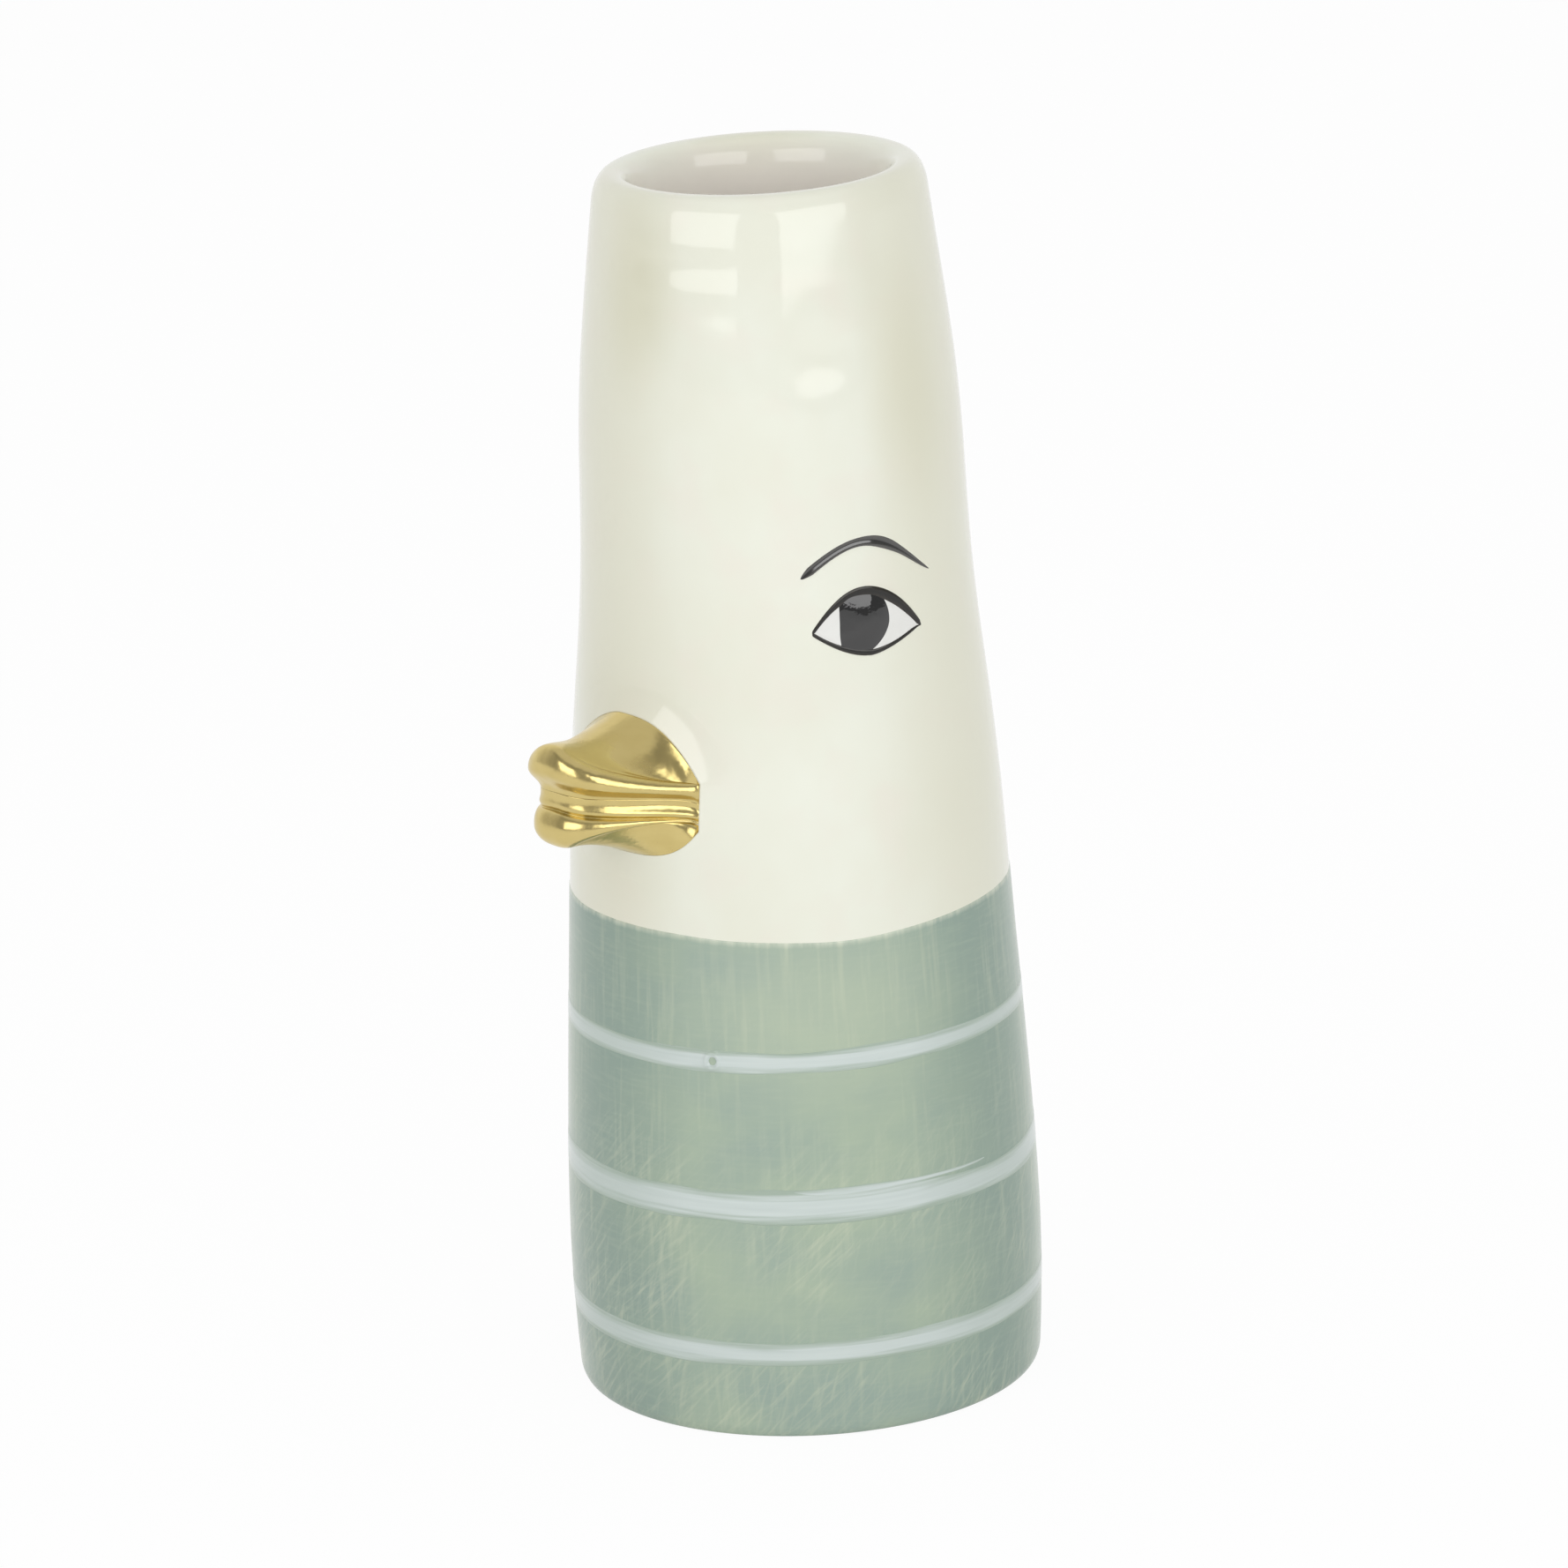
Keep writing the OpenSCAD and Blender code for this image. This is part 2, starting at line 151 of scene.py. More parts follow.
# %% [markdown]
# ## A hand-made surface
# A cast vase is smoothed with a wet sponge, which leaves shallow ripples round the neck, and a
# thumb print where it was held. They are a few hundredths to a few tenths of a millimetre deep,
# but they break the reflections of the lights into patches, which is what tells the eye that the
# vase wasn't turned by a machine. They are part of the radius, so that paint lies on them.

# %% Add the sponge's ripples
RIPPLE_DEPTH = 0.045 * MM
RIPPLE_LENGTH = 6.8 * MM
RIPPLE_Z = 171.9 * MM
RIPPLE_START = 162.5 * MM
RIPPLE_FADE = 6 * MM
RIPPLE_TURN = np.radians(28)
RIPPLE_SPREAD = 0.42
SWELL_DEPTH = 0.06 * MM
SWELL_WINDS = (40, -55)
SWELL_SECOND = 0.6
DENT_DEPTH = 0.3 * MM
DENT_SIZE = 5 * MM
DENT_TURN = np.radians(66)
DENT_Z = 157 * MM


def unit(value):
    """The value, kept between 0 and 1."""
    return np.clip(value, 0, 1)


def bell(away, width):
    """A bell curve: 1 in the middle, and a good third at one width away."""
    return np.exp(-(away / width) ** 2)


def from_turn(turn, middle):
    """The angle from a middle to a turn, the shorter way round."""
    return np.angle(np.exp(1j * (turn - middle)))


def wall_radius(turn, height):
    """Radius of the finished outside: the outline, plus waves of a sine in the height that
    grow above RIPPLE_START and are deepest at RIPPLE_TURN, plus a slow swell with two and
    three lobes that wind round the vase, less a bell-shaped thumb print."""
    fade = unit((height - RIPPLE_START) / RIPPLE_FADE) * bell(from_turn(turn, RIPPLE_TURN), RIPPLE_SPREAD)
    wave = np.sin(2 * np.pi * (height - RIPPLE_Z) / RIPPLE_LENGTH)
    swell = (np.cos(2 * turn + SWELL_WINDS[0] * height)
             + SWELL_SECOND * np.cos(3 * turn + SWELL_WINDS[1] * height))
    dent = bell(np.hypot(from_turn(turn, DENT_TURN) * outline(height), height - DENT_Z), DENT_SIZE)
    return outline(height) + RIPPLE_DEPTH * fade * wave + SWELL_DEPTH * swell - DENT_DEPTH * dent


def around(turn, radius, height):
    """Points at an angle round the vase, counted from the bill towards the left eye."""
    turn, radius, height = np.broadcast_arrays(turn, radius, height)
    return np.stack([radius * np.sin(turn), -radius * np.cos(turn), height], axis=-1)


def on_wall(turn, height, lift):
    """Points on the finished outside, lifted over it."""
    return around(turn, wall_radius(turn, height) + lift, height)


print("radius in mm at the foot, the band and the lip:",
      [round(float(wall_radius(0.0, z)) / MM, 2) for z in (2 * MM, BAND_Z, LIP_Z)])

# %% [markdown]
# ## From arrays to meshes
# Every piece here is a grid of points: one direction of the grid runs along the piece, the
# other runs round its section. Blender could spin or sweep such shapes, but a grid of points
# says exactly where the surface is. One function turns any grid into a closed piece, merges
# the points of a pole, and turns the faces outwards by the sign of the volume they enclose. Two
# small helpers give even steps across a grid and round the vase.

# %% Turn a grid of points into a piece
MERGE = 1e-7


def spaced(start, end, count):
    """Even steps along the second direction of a grid."""
    return np.linspace(start, end, count)[None, :]


def full_turn(count):
    """Even steps once round, without the last one, which is the first again."""
    return np.linspace(0, 2 * np.pi, count, endpoint=False)


def new_piece(name, points, closed_rows, slot, nodes, **attributes):
    """A mesh from points[row, column]: each face joins four neighbours, the columns always
    close into a loop, and the rows close too where closed_rows is true. Open ends of the rows
    must have shrunk to a point or a line. The enclosed volume is the sum, over the triangles,
    of a . (b x c) / 6, and a negative one means that the faces look inwards. Attributes are
    one number per point, which a material can read by name."""
    rows, columns = points.shape[:2]
    row = np.arange(rows if closed_rows else rows - 1)[:, None]
    column = np.arange(columns)[None, :]
    below = (row + 1) % rows
    beside = (column + 1) % columns
    quads = np.stack([row * columns + column, below * columns + column,
                      below * columns + beside, row * columns + beside], axis=-1).reshape(-1, 4)
    corners = points.reshape(-1, 3)
    a, b, c, d = (corners[quads[:, k]] for k in range(4))
    volume = sum(np.einsum("ij,ij->", a, np.cross(p, q)) for p, q in ((b, c), (c, d))) / 6
    if volume < 0:
        quads = quads[:, ::-1]
    mesh = bpy.data.meshes.new(name)
    mesh.from_pydata(corners.tolist(), [], quads.tolist())
    for label, values in attributes.items():
        spread = np.broadcast_to(values, (rows, columns)).ravel().astype(np.float32)
        mesh.attributes.new(label, "FLOAT", "POINT").data.foreach_set("value", spread)
    shape = bmesh.new()
    shape.from_mesh(mesh)
    bmesh.ops.remove_doubles(shape, verts=shape.verts, dist=MERGE)
    bmesh.ops.dissolve_degenerate(shape, edges=shape.edges, dist=MERGE)
    shape.to_mesh(mesh)
    shape.free()
    mesh.polygons.foreach_set("use_smooth", np.ones(len(mesh.polygons), bool))
    piece = bpy.data.objects.new(name, mesh)
    bpy.context.scene.collection.objects.link(piece)
    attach(piece, "root")
    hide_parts(*nodes)
    print(name, "faces:", len(mesh.polygons), "volume in mm3:", round(abs(volume) / MM ** 3, 1))
    return piece


# %% [markdown]
# ## Cream glaze
# The cream glaze runs from the green line up the outside, over the rounded lip, and a few
# centimetres down inside the mouth. Glaze and clay gather at the lip, so it is a bead that bulges
# into the mouth. It falls away more slowly inside than outside, and it isn't quite level. The
# coat is thin, so its section is a loop: up the outside, over the lip on two quarters of an
# ellipse, the inner one a squarer ellipse, down inside until it dips behind the liner, and back
# within the clay where nobody sees it. The loop is carried once round the vase. An attribute
# named inward says how far a point is over the lip, so that the finish can turn paler and pinker
# there: painted light, for the light that falls into the mouth and bounces round in it.

# %% Make the cream coat
COAT = 0.5 * MM
UNDERLAP = 4 * MM
TUCK = 0.06 * MM
INNER_Z = TOP_Z - 9.5 * MM
LIP_LEAN = 0.25 * MM
LEAN_FROM = 0.4
LEAN_REACH = 10 * MM
LIP_OUTER_W = 2.65 * MM
LIP_INNER_W = 3.6 * MM
LIP_POWER = 3.0
TAIL_LENGTH = 30 * MM
TAIL_Z = INNER_Z - TAIL_LENGTH
TAIL_UNDER = 0.2 * MM
TAIL_BACK = 0.3 * MM
turns = full_turn(432)[:, None]
liner = cad_points("liner_glaze")
at_lip = np.abs(liner[:, 2] - LIP_Z) < TOUCH
mouth_radius = np.hypot(liner[at_lip, 0], liner[at_lip, 1]).min()
WALL_AND_COATS = float(outline(LIP_Z)) - mouth_radius


def blend(a, b, share):
    """The value a share of the way from a to b."""
    return a + (b - a) * share


def ease(share):
    """A smooth step from 0 to 1: half a cosine wave."""
    return (1 - np.cos(np.pi * share)) / 2


def squarer(wave):
    """A sine or cosine bent so that the two draw a squarer ellipse than a round one."""
    return np.abs(wave) ** (2 / LIP_POWER)


def leaning(points):
    """The same points with the lip a little off level: each rises by LIP_LEAN times how far it
    is to the right of a point left of the axis in the picture, in lip radii, and less and less
    below the lip."""
    aside = points @ camera_right / mouth_radius + LEAN_FROM
    near_lip = unit((points[..., 2] - LIP_Z) / LEAN_REACH + 1) ** 2
    return points + (LIP_LEAN * aside * near_lip)[..., None] * (0, 0, 1)


outside = on_wall(turns, spaced(BAND_Z - UNDERLAP, LIP_Z, 124), 0)
outer_angle = spaced(0, np.pi / 2, 30)[:, 1:]
inner_angle = spaced(np.pi / 2, np.pi, 40)[:, 1:]
lip_middle = wall_radius(turns, LIP_Z) - LIP_OUTER_W
inner_radius = float(outline(LIP_Z)) - LIP_OUTER_W - LIP_INNER_W
lean_in = lip_slope * (TOP_Z - LIP_Z) * np.sin(outer_angle) * (1 - np.sin(outer_angle))
outer_lip = around(turns, lip_middle + LIP_OUTER_W * np.cos(outer_angle) + lean_in,
                   blend(LIP_Z, TOP_Z, np.sin(outer_angle)))
inner_lip = around(turns, blend(lip_middle, inner_radius, squarer(np.cos(inner_angle))),
                   blend(INNER_Z, TOP_Z, squarer(np.sin(inner_angle))))
tail_z = spaced(INNER_Z, TAIL_Z, 20)[:, 1:]
bulge = float(outline(INNER_Z)) - WALL_AND_COATS - inner_radius
bulge_left = blend(bulge, -TAIL_UNDER, ease((INNER_Z - tail_z) / TAIL_LENGTH))
tail = around(turns, outline(tail_z) - WALL_AND_COATS - bulge_left, tail_z)
hidden_z = spaced(TAIL_Z, LIP_Z, 8)
inner_back = around(turns, outline(hidden_z) - WALL_AND_COATS + TAIL_BACK, hidden_z)
back = on_wall(turns, spaced(LIP_Z, BAND_Z - UNDERLAP, 6), -COAT)

cream_parts = [(leaning(outside), 0, 0), (leaning(outer_lip), 0, 0), (leaning(inner_lip), 0, 1),
               (tail, 1, 1), (inner_back, 1, 1), (back, 0, 0)]
cream_loop = np.concatenate([part for part, first, last in cream_parts], axis=1)
inward = np.concatenate([np.linspace(first, last, part.shape[1]) for part, first, last in cream_parts])
cream_coat = new_piece("cream_coat", cream_loop, True, "cream_glaze", ["cream_glaze"], inward=inward)
print("mouth radius in mm:", round(mouth_radius / MM, 2), "dressed:", round(inner_radius / MM, 2))

# %% [markdown]
# ## Liner glaze
# Inside, a clear liner glaze makes the vase hold water. It reads a little pinker than the
# outside, because light bounces round in there and picks up the colour of the clay. That pink is
# painted into its colour, which is also painted paler than the glaze for the light that falls into
# the mouth. Its section starts on the axis at the floor, turns up a round corner and climbs up
# behind the cream glaze, then goes back a coat's thickness behind. Both ends lie on the axis and
# merge to a pole.

# %% Make the liner
FLOOR_Z = 6.5 * MM
FLOOR_ROUND = 8 * MM


def liner_section(depth, floor):
    """Radius and height from the floor's middle up to the bead of the lip: a flat floor, a
    quarter circle of FLOOR_ROUND, then the outline moved inwards by a depth."""
    corner_z = floor + FLOOR_ROUND
    centre = outline(corner_z) - depth - FLOOR_ROUND
    flat = np.linspace(0, centre, 8)
    angle = np.linspace(-np.pi / 2, 0, 16)[1:]
    wall_z = np.linspace(corner_z, INNER_Z, 60)[1:]
    return np.stack([
        np.concatenate([flat, centre + FLOOR_ROUND * np.cos(angle), outline(wall_z) - depth]),
        np.concatenate([0 * flat + floor, corner_z + FLOOR_ROUND * np.sin(angle), wall_z])])


liner_loop = np.concatenate([liner_section(WALL_AND_COATS - TUCK, FLOOR_Z),
                             liner_section(WALL_AND_COATS - COAT, FLOOR_Z - COAT)[:, ::-1]], axis=1)
liner_coat = new_piece("liner_coat", around(turns, *liner_loop[:, None]), True,
                       "liner_glaze", ["liner_glaze"])

# %% [markdown]
# ## Green glaze
# The lower half was dipped or brushed to a line round the middle, and the line isn't quite
# level: it dips by about a millimetre at the side and wavers where the brush went round.
# The top edge of the coat is therefore a function of the angle, and the section stretches to
# meet it. At the bottom the glaze was wiped off in a small round, just above the table. An
# attribute named edge rises to 1 at the line, where the brush left the glaze thin.

# %% Make the green coat
BAND_RISE = 0.85 * MM
BAND_DIP = 1.0 * MM
DIP_TURN = np.radians(58)
DIP_SPREAD = 0.55
BAND_WAVER = 0.12 * MM
BAND_WAVES = 14
PROUD = 0.07 * MM
FOOT_ROUND_R = 0.7 * MM
FOOT_ROUND_Z = 1.8 * MM
WIPED_Z = 0.15 * MM
EDGE_DROP = 0.5 * MM
PROUD_BY = 0.05
BRUSHED_EDGE = 1.3 * MM
rng = np.random.default_rng(7)


def wobble(turn, size, waves):
    """An uneven line round the vase: cosines of two to waves lobes, each weaker than the one
    before and starting at a random angle, scaled to a size."""
    lobes = np.arange(2, waves + 1)
    starts = rng.uniform(0, 2 * np.pi, len(lobes))
    return size * (np.cos(np.multiply.outer(turn, lobes) + starts) / lobes).sum(axis=-1)


band_line = (BAND_Z + BAND_RISE - BAND_DIP * bell(from_turn(turns, DIP_TURN), DIP_SPREAD)
             + wobble(turns, BAND_WAVER, BAND_WAVES))
foot_angle = spaced(-np.pi / 2, 0, 16)
foot_z = WIPED_Z + FOOT_ROUND_Z * (1 + np.sin(foot_angle))
foot_r = wall_radius(turns, foot_z) - FOOT_ROUND_R * (1 - np.cos(foot_angle))
rise_share = spaced(0, 1, 180)[:, 1:]
rise_z = blend(foot_z.max(), band_line, rise_share)
edge_drop = unit((rise_z - band_line) / EDGE_DROP + 1) ** 2 * (PROUD + TUCK)
rise_r = wall_radius(turns, rise_z) + PROUD * unit(rise_share / PROUD_BY) - edge_drop
down_share = spaced(0, 1, 12)
inner_z = blend(band_line, foot_z.min(), down_share)
inner_r = wall_radius(turns, inner_z) - COAT - FOOT_ROUND_R * down_share ** 6
green_z = np.concatenate([foot_z + 0 * turns, rise_z, inner_z], axis=1)
green_r = np.concatenate([foot_r, rise_r, inner_r], axis=1)
green_coat = new_piece("green_coat", around(turns, green_r, green_z), True, "green_glaze",
                       ["green_glaze"], edge=unit(1 - (band_line - green_z) / BRUSHED_EDGE))

# %% [markdown]
# ## Painted strokes
# The stripes, the lids and the brows are strokes of a loaded brush. A stroke is a low round
# bead: its section is half a squarish ellipse over the glaze, closed just below it. It follows
# a path on the wall and its width swells and thins, so a stroke is a path plus a width. The
# stripes are strokes that close round the vase.

# %% Make the three stripes
BURIED = 0.12 * MM
BEAD_SIDE = 0.8
BEAD_TOP = 0.7
SLIP_RELIEF = 0.05 * MM
WASH = 1.22
WANDER_WAVES = 9
WIDTH_WAVES = 23
DROOP_SPREAD = 0.5
DROOP_THINS = 0.3
PIT_RIM = 0.35 * MM
PIT_DEPTH = 0.4 * MM
PIT_RIM_SPREAD = 0.35
PIT_SPREAD = 0.6
stripe_turns = full_turn(1440)[:, None]
section_angle = full_turn(28)[None, :]
across = np.sign(np.cos(section_angle)) * np.abs(np.cos(section_angle)) ** BEAD_SIDE
lift_shape = np.where(np.sin(section_angle) > 0, np.abs(np.sin(section_angle)) ** BEAD_TOP, 0)
sink_shape = np.where(np.sin(section_angle) < 0, 1.0, 0.0)
slip_lift = PROUD + SLIP_RELIEF * lift_shape - BURIED * sink_shape


def stripe(name, node, wander, width_change, pit=None, droop=None):
    """A bead round the vase: its middle wanders up and down from the solid's middle, and its
    width changes, both as uneven lines of the angle. WASH adds the thin rim of slip beyond the
    solid's width. A pit is a dent with a raised rim, and a droop is an angle round which the
    stripe sinks and thins along a bell curve."""
    low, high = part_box(node)
    middle = (low.z + high.z) / 2 + wobble(stripe_turns, wander, WANDER_WAVES)
    half_width = WASH * (high.z - low.z) / 2 * (1 + wobble(stripe_turns, width_change, WIDTH_WAVES))
    lift = slip_lift
    if droop is not None:
        droop_turn, droop_depth = droop
        sunk = bell(from_turn(stripe_turns, droop_turn), DROOP_SPREAD)
        middle, half_width = middle - droop_depth * sunk, half_width * (1 - DROOP_THINS * sunk)
    height = middle + half_width * across
    if pit is not None:
        pit_turn, pit_radius = pit
        away = np.hypot((stripe_turns - pit_turn) * outline(low.z), height - middle) / pit_radius
        dented = PIT_RIM * bell(away - 1, PIT_RIM_SPREAD) - PIT_DEPTH * bell(away, PIT_SPREAD)
        lift = lift + dented * (lift_shape > 0)
    return new_piece(name, on_wall(stripe_turns, height, lift), True, "pale_slip", [node],
                     edge=np.abs(across))


stripes = [
    stripe("stripe_low_slip", "stripe_low", 0.12 * MM, 0.10),
    stripe("stripe_mid_slip", "stripe_mid", 0.15 * MM, 0.14, droop=(np.radians(108), 0.8 * MM)),
    stripe("stripe_top_slip", "stripe_top", 0.12 * MM, 0.12, pit=(np.radians(27.3), 1.0 * MM))]

# %% [markdown]
# The second stripe was gone over twice, and the two strokes part on the left side of the duck,
# where the heavy one sinks. The stray stroke keeps to its level, starts on the upper edge of
# the stripe and thins out to nothing. Its brush was nearly dry, so its edge attribute starts
# above 0 and the finish lets more of the green through.

# %% Make the stray stroke
STRAY_FROM = np.radians(31)
STRAY_TO = np.radians(103)
STRAY_WIDTH = 0.85 * MM
STRAY_OVER = 0.05 * MM
STRAY_WAVER = 0.06 * MM
STRAY_FINER = 6
STRAY_DRY = 0.3
STRAY_START = 0.1
STRAY_END = 0.7
STRAY_BEATS = 11
STRAY_BEAT = 0.15
stray_share = np.linspace(0, 1, 360)[:, None]
stray_turn = blend(STRAY_FROM, STRAY_TO, stray_share)
stray_middle = (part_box("stripe_mid")[1].z + STRAY_OVER
                + wobble(stray_turn * STRAY_FINER, STRAY_WAVER, WANDER_WAVES))
starting = unit(stray_share / STRAY_START) ** 0.5
ending = unit((1 - stray_share) / STRAY_END) ** 0.7
beating = 1 - STRAY_BEAT * (1 - np.cos(STRAY_BEATS * stray_turn))
stray_half = STRAY_WIDTH * starting * ending * beating
stray_lift = slip_lift * np.sin(np.pi * stray_share) ** 0.3
stray_stroke = new_piece("stripe_mid_stray_slip",
                         on_wall(stray_turn, stray_middle + stray_half * across, stray_lift),
                         False, "pale_slip", ["stripe_mid"], edge=blend(STRAY_DRY, 1, np.abs(across)))

# %% [markdown]
# ## The eyes
# Each eye was painted with three pots of colour: white for the ball, charcoal for the iris,
# and black for the lids and the brow. The solids say where the corners are. A point of the
# eye is given by how far it is towards the back of the head and how far up, on a flat plane
# in front of the eye, and it is pushed straight onto the wall. The right eye is the left one
# mirrored, so the same arrays serve for both with x turned round.

# %% Find the eye on the wall
lid_points = cad_points("left_lid_line")
lid_turn = np.arctan2(lid_points[:, 0], -lid_points[:, 1])
front_corner = lid_points[lid_turn.argmin()]
back_corner = lid_points[lid_turn.argmax()]
EYE_TURN = (lid_turn.min() + lid_turn.max()) / 2
EYE_Z = (front_corner[2] + back_corner[2]) / 2
EYE_HALF = np.hypot(*(back_corner - front_corner)[:2]) / 2
EYE_TILT = np.arctan2(front_corner[2] - back_corner[2], 2 * EYE_HALF)
SIDES = {"left": 1, "right": -1}
eye_out = np.array([np.sin(EYE_TURN), -np.cos(EYE_TURN)])
eye_along = np.array([np.cos(EYE_TURN), np.sin(EYE_TURN)])


def on_eye(u, v, lift):
    """A point of the eye's plane on the wall: u towards the back and v up, turned by the tilt.
    It lies where the line straight back from it meets the radius plus a lift."""
    along = u * np.cos(EYE_TILT) + v * np.sin(EYE_TILT)
    height = EYE_Z + v * np.cos(EYE_TILT) - u * np.sin(EYE_TILT)
    turn = EYE_TURN + np.arcsin(along / outline(height))
    out = np.sqrt((wall_radius(turn, height) + lift) ** 2 - along ** 2)
    flat = out[..., None] * eye_out + along[..., None] * eye_along
    return np.concatenate([flat, height[..., None]], axis=-1)


def both_sides(name, points, closed_rows, slot, node, **attributes):
    """The piece on the left of the duck, and the same one mirrored on its right."""
    return [new_piece(f"{side}_{name}", points * (sign, 1, 1), closed_rows, slot,
                      [f"{side}_{node}"], **attributes) for side, sign in SIDES.items()]


print("eye at degrees", round(np.degrees(EYE_TURN), 1), "height in mm", round(EYE_Z / MM, 1),
      "half width in mm", round(EYE_HALF / MM, 2), "tilt", round(np.degrees(EYE_TILT), 1))

# %% [markdown]
# The ball of the eye and the iris are flat puddles of enamel. A puddle is thickest in the
# middle and falls away to its outline, so its lift is a function of how far a point is from
# the middle to the edge. The outline of the ball is two arches from corner to corner. Neither is
# even: each has its peak where the brush turned and its own fullness in front of it and behind.
# The iris is an oval, squarer on the side of the bill and slimmer at the lower back.

# %% Make the whites and the irises
UPPER_RISE = 5.85 * MM
UPPER_PEAK = -0.1
UPPER_POWERS = (2.12, 1.85)
LOWER_DROP = 2.9 * MM
LOWER_PEAK = 0.0
LOWER_POWERS = (2.0, 1.4)
LOWER_TAIL = 0.55 * MM
BALL_RELIEF = 0.10 * MM
BALL_MIDDLE = 1.0 * MM
IRIS_AHEAD = 0.95 * MM
IRIS_RISE = 1.5 * MM
IRIS_HALF_W = 4.3 * MM
IRIS_HALF_H = 4.5 * MM
IRIS_RELIEF = 0.52 * MM
IRIS_FRONT, IRIS_LOW_BACK, IRIS_HIGH_BACK = 3.4, 1.7, 2.1
ring_share = np.linspace(0, 1, 40)[:, None]
ring_angle = full_turn(160)[None, :]


def arch(share, rise, peak, powers):
    """Height of an arch over its chord, for shares from -1 in front to 1 behind: the rise times
    one minus a power of the distance from the peak to that end. A power of 2 is a round arch,
    and a lower one has straighter sides."""
    ahead = share < peak
    away = np.abs(share - peak) / np.where(ahead, 1 + peak, 1 - peak)
    return rise * (1 - unit(away) ** np.where(ahead, *powers))


def upper_edge(u):
    """The upper edge of the ball of the eye over its chord."""
    return arch(u / EYE_HALF, UPPER_RISE, UPPER_PEAK, UPPER_POWERS)


def lower_edge(u):
    """The lower edge: an arch hung below the chord, lifted towards the corner behind by the
    square of the share of the way there, but not in the corner itself."""
    behind = unit(u / EYE_HALF)
    return (LOWER_TAIL * behind ** 2 * (1 - behind ** 12)
            - arch(u / EYE_HALF, LOWER_DROP, LOWER_PEAK, LOWER_POWERS))


def puddle(outline_u, outline_v, middle_u, middle_v, relief, fullness):
    """Rings from a top centre out to the outline and back under it to a lower centre: the
    lift is relief times one minus the share from the middle, raised to a fullness."""
    shares = np.concatenate([ring_share, ring_share[::-1]])
    u, v = blend(middle_u, outline_u, shares), blend(middle_v, outline_v, shares)
    lift = np.concatenate([relief * (1 - ring_share ** fullness), 0 * ring_share - BURIED])
    return np.swapaxes(on_eye(u, v, np.broadcast_to(lift, u.shape)), 0, 1)


ball_u = EYE_HALF * np.cos(ring_angle)
ball_v = np.where(np.sin(ring_angle) >= 0, upper_edge(ball_u), lower_edge(ball_u))
ball = puddle(ball_u, ball_v, 0.0, BALL_MIDDLE, BALL_RELIEF, fullness=6)
power = np.where(np.cos(ring_angle) < 0, IRIS_FRONT,
                 np.where(np.sin(ring_angle) < 0, IRIS_LOW_BACK, IRIS_HIGH_BACK))
reach = (np.abs(np.cos(ring_angle)) ** power + np.abs(np.sin(ring_angle)) ** power) ** (-1 / power)
iris_u = -IRIS_AHEAD + IRIS_HALF_W * reach * np.cos(ring_angle)
iris_v = IRIS_RISE + IRIS_HALF_H * reach * np.sin(ring_angle)
iris = puddle(iris_u, iris_v, -IRIS_AHEAD, IRIS_RISE, IRIS_RELIEF, fullness=2)
whites = both_sides("eye_white_enamel", ball, True, "eye_white", "eye_white")
irises = both_sides("iris_enamel", iris, True, "iris_black", "iris")

# %% [markdown]
# The lids and the brow are strokes again, this time on the eye's plane. Each has its own path
# and its own width: the upper lid is heaviest behind its middle, the lower lid at its lowest,
# and the brow starts blunt, swells past its middle and runs out to a point. The brow's path is a
# smooth curve through five heights. Its enamel ran down a little before it set, so its lower
# side is the thicker one and catches the light.

# %% Make the lids and the brows
UPPER_LID_RELIEF = 0.16 * MM
LOWER_LID_RELIEF = 0.15 * MM
BROW_RELIEF = 0.18 * MM
BROW_HALF = 10.4 * MM
BROW_HEIGHTS_MM = (7.8, 11.85, 12.95, 10.98, 7.75)
BROW_RUN_DOWN = 0.8
RUN_FROM, RUN_OVER = 0.9, 1.2
TAPER_POWER = 0.6
stroke_share = np.linspace(0, 1, 200)[:, None]


def stroke(path_u, path_v, half_width, relief, run_down=0.0):
    """A bead along a path of the eye's plane: at each step the section lies square to the
    path's direction, half_width to each side, and swells by relief over the enamel, less where
    the stroke is narrow, by the square root of its width. A share of run_down of the swelling is
    left out along the upper side and comes in evenly below that."""
    step_u, step_v = np.gradient(path_u, axis=0), np.gradient(path_v, axis=0)
    length = np.hypot(step_u, step_v)
    u = path_u - half_width * across * step_v / length
    v = path_v + half_width * across * step_u / length
    swell = unit(half_width / half_width.max()) ** 0.5
    stays = 1 - run_down * unit((across + RUN_FROM) / RUN_OVER)
    return on_eye(u, v, relief * lift_shape ** (1 - run_down / 2) * stays * swell - BURIED * sink_shape)


def brushed_width(thin_mm, swell_mm, at, spread, start, end, power=2):
    """Half the width along a stroke: a thin line, plus a swelling that falls off along a bell
    curve from the place where the brush was pressed. It is nothing at both ends, and it rises
    over a share named start and falls over a share named end, along a power of the distance."""
    swelling = np.exp(-np.abs((stroke_share - at) / spread) ** power)
    tapering = (unit(stroke_share / start) * unit((1 - stroke_share) / end)) ** TAPER_POWER
    return (thin_mm + swell_mm * swelling) * MM * tapering


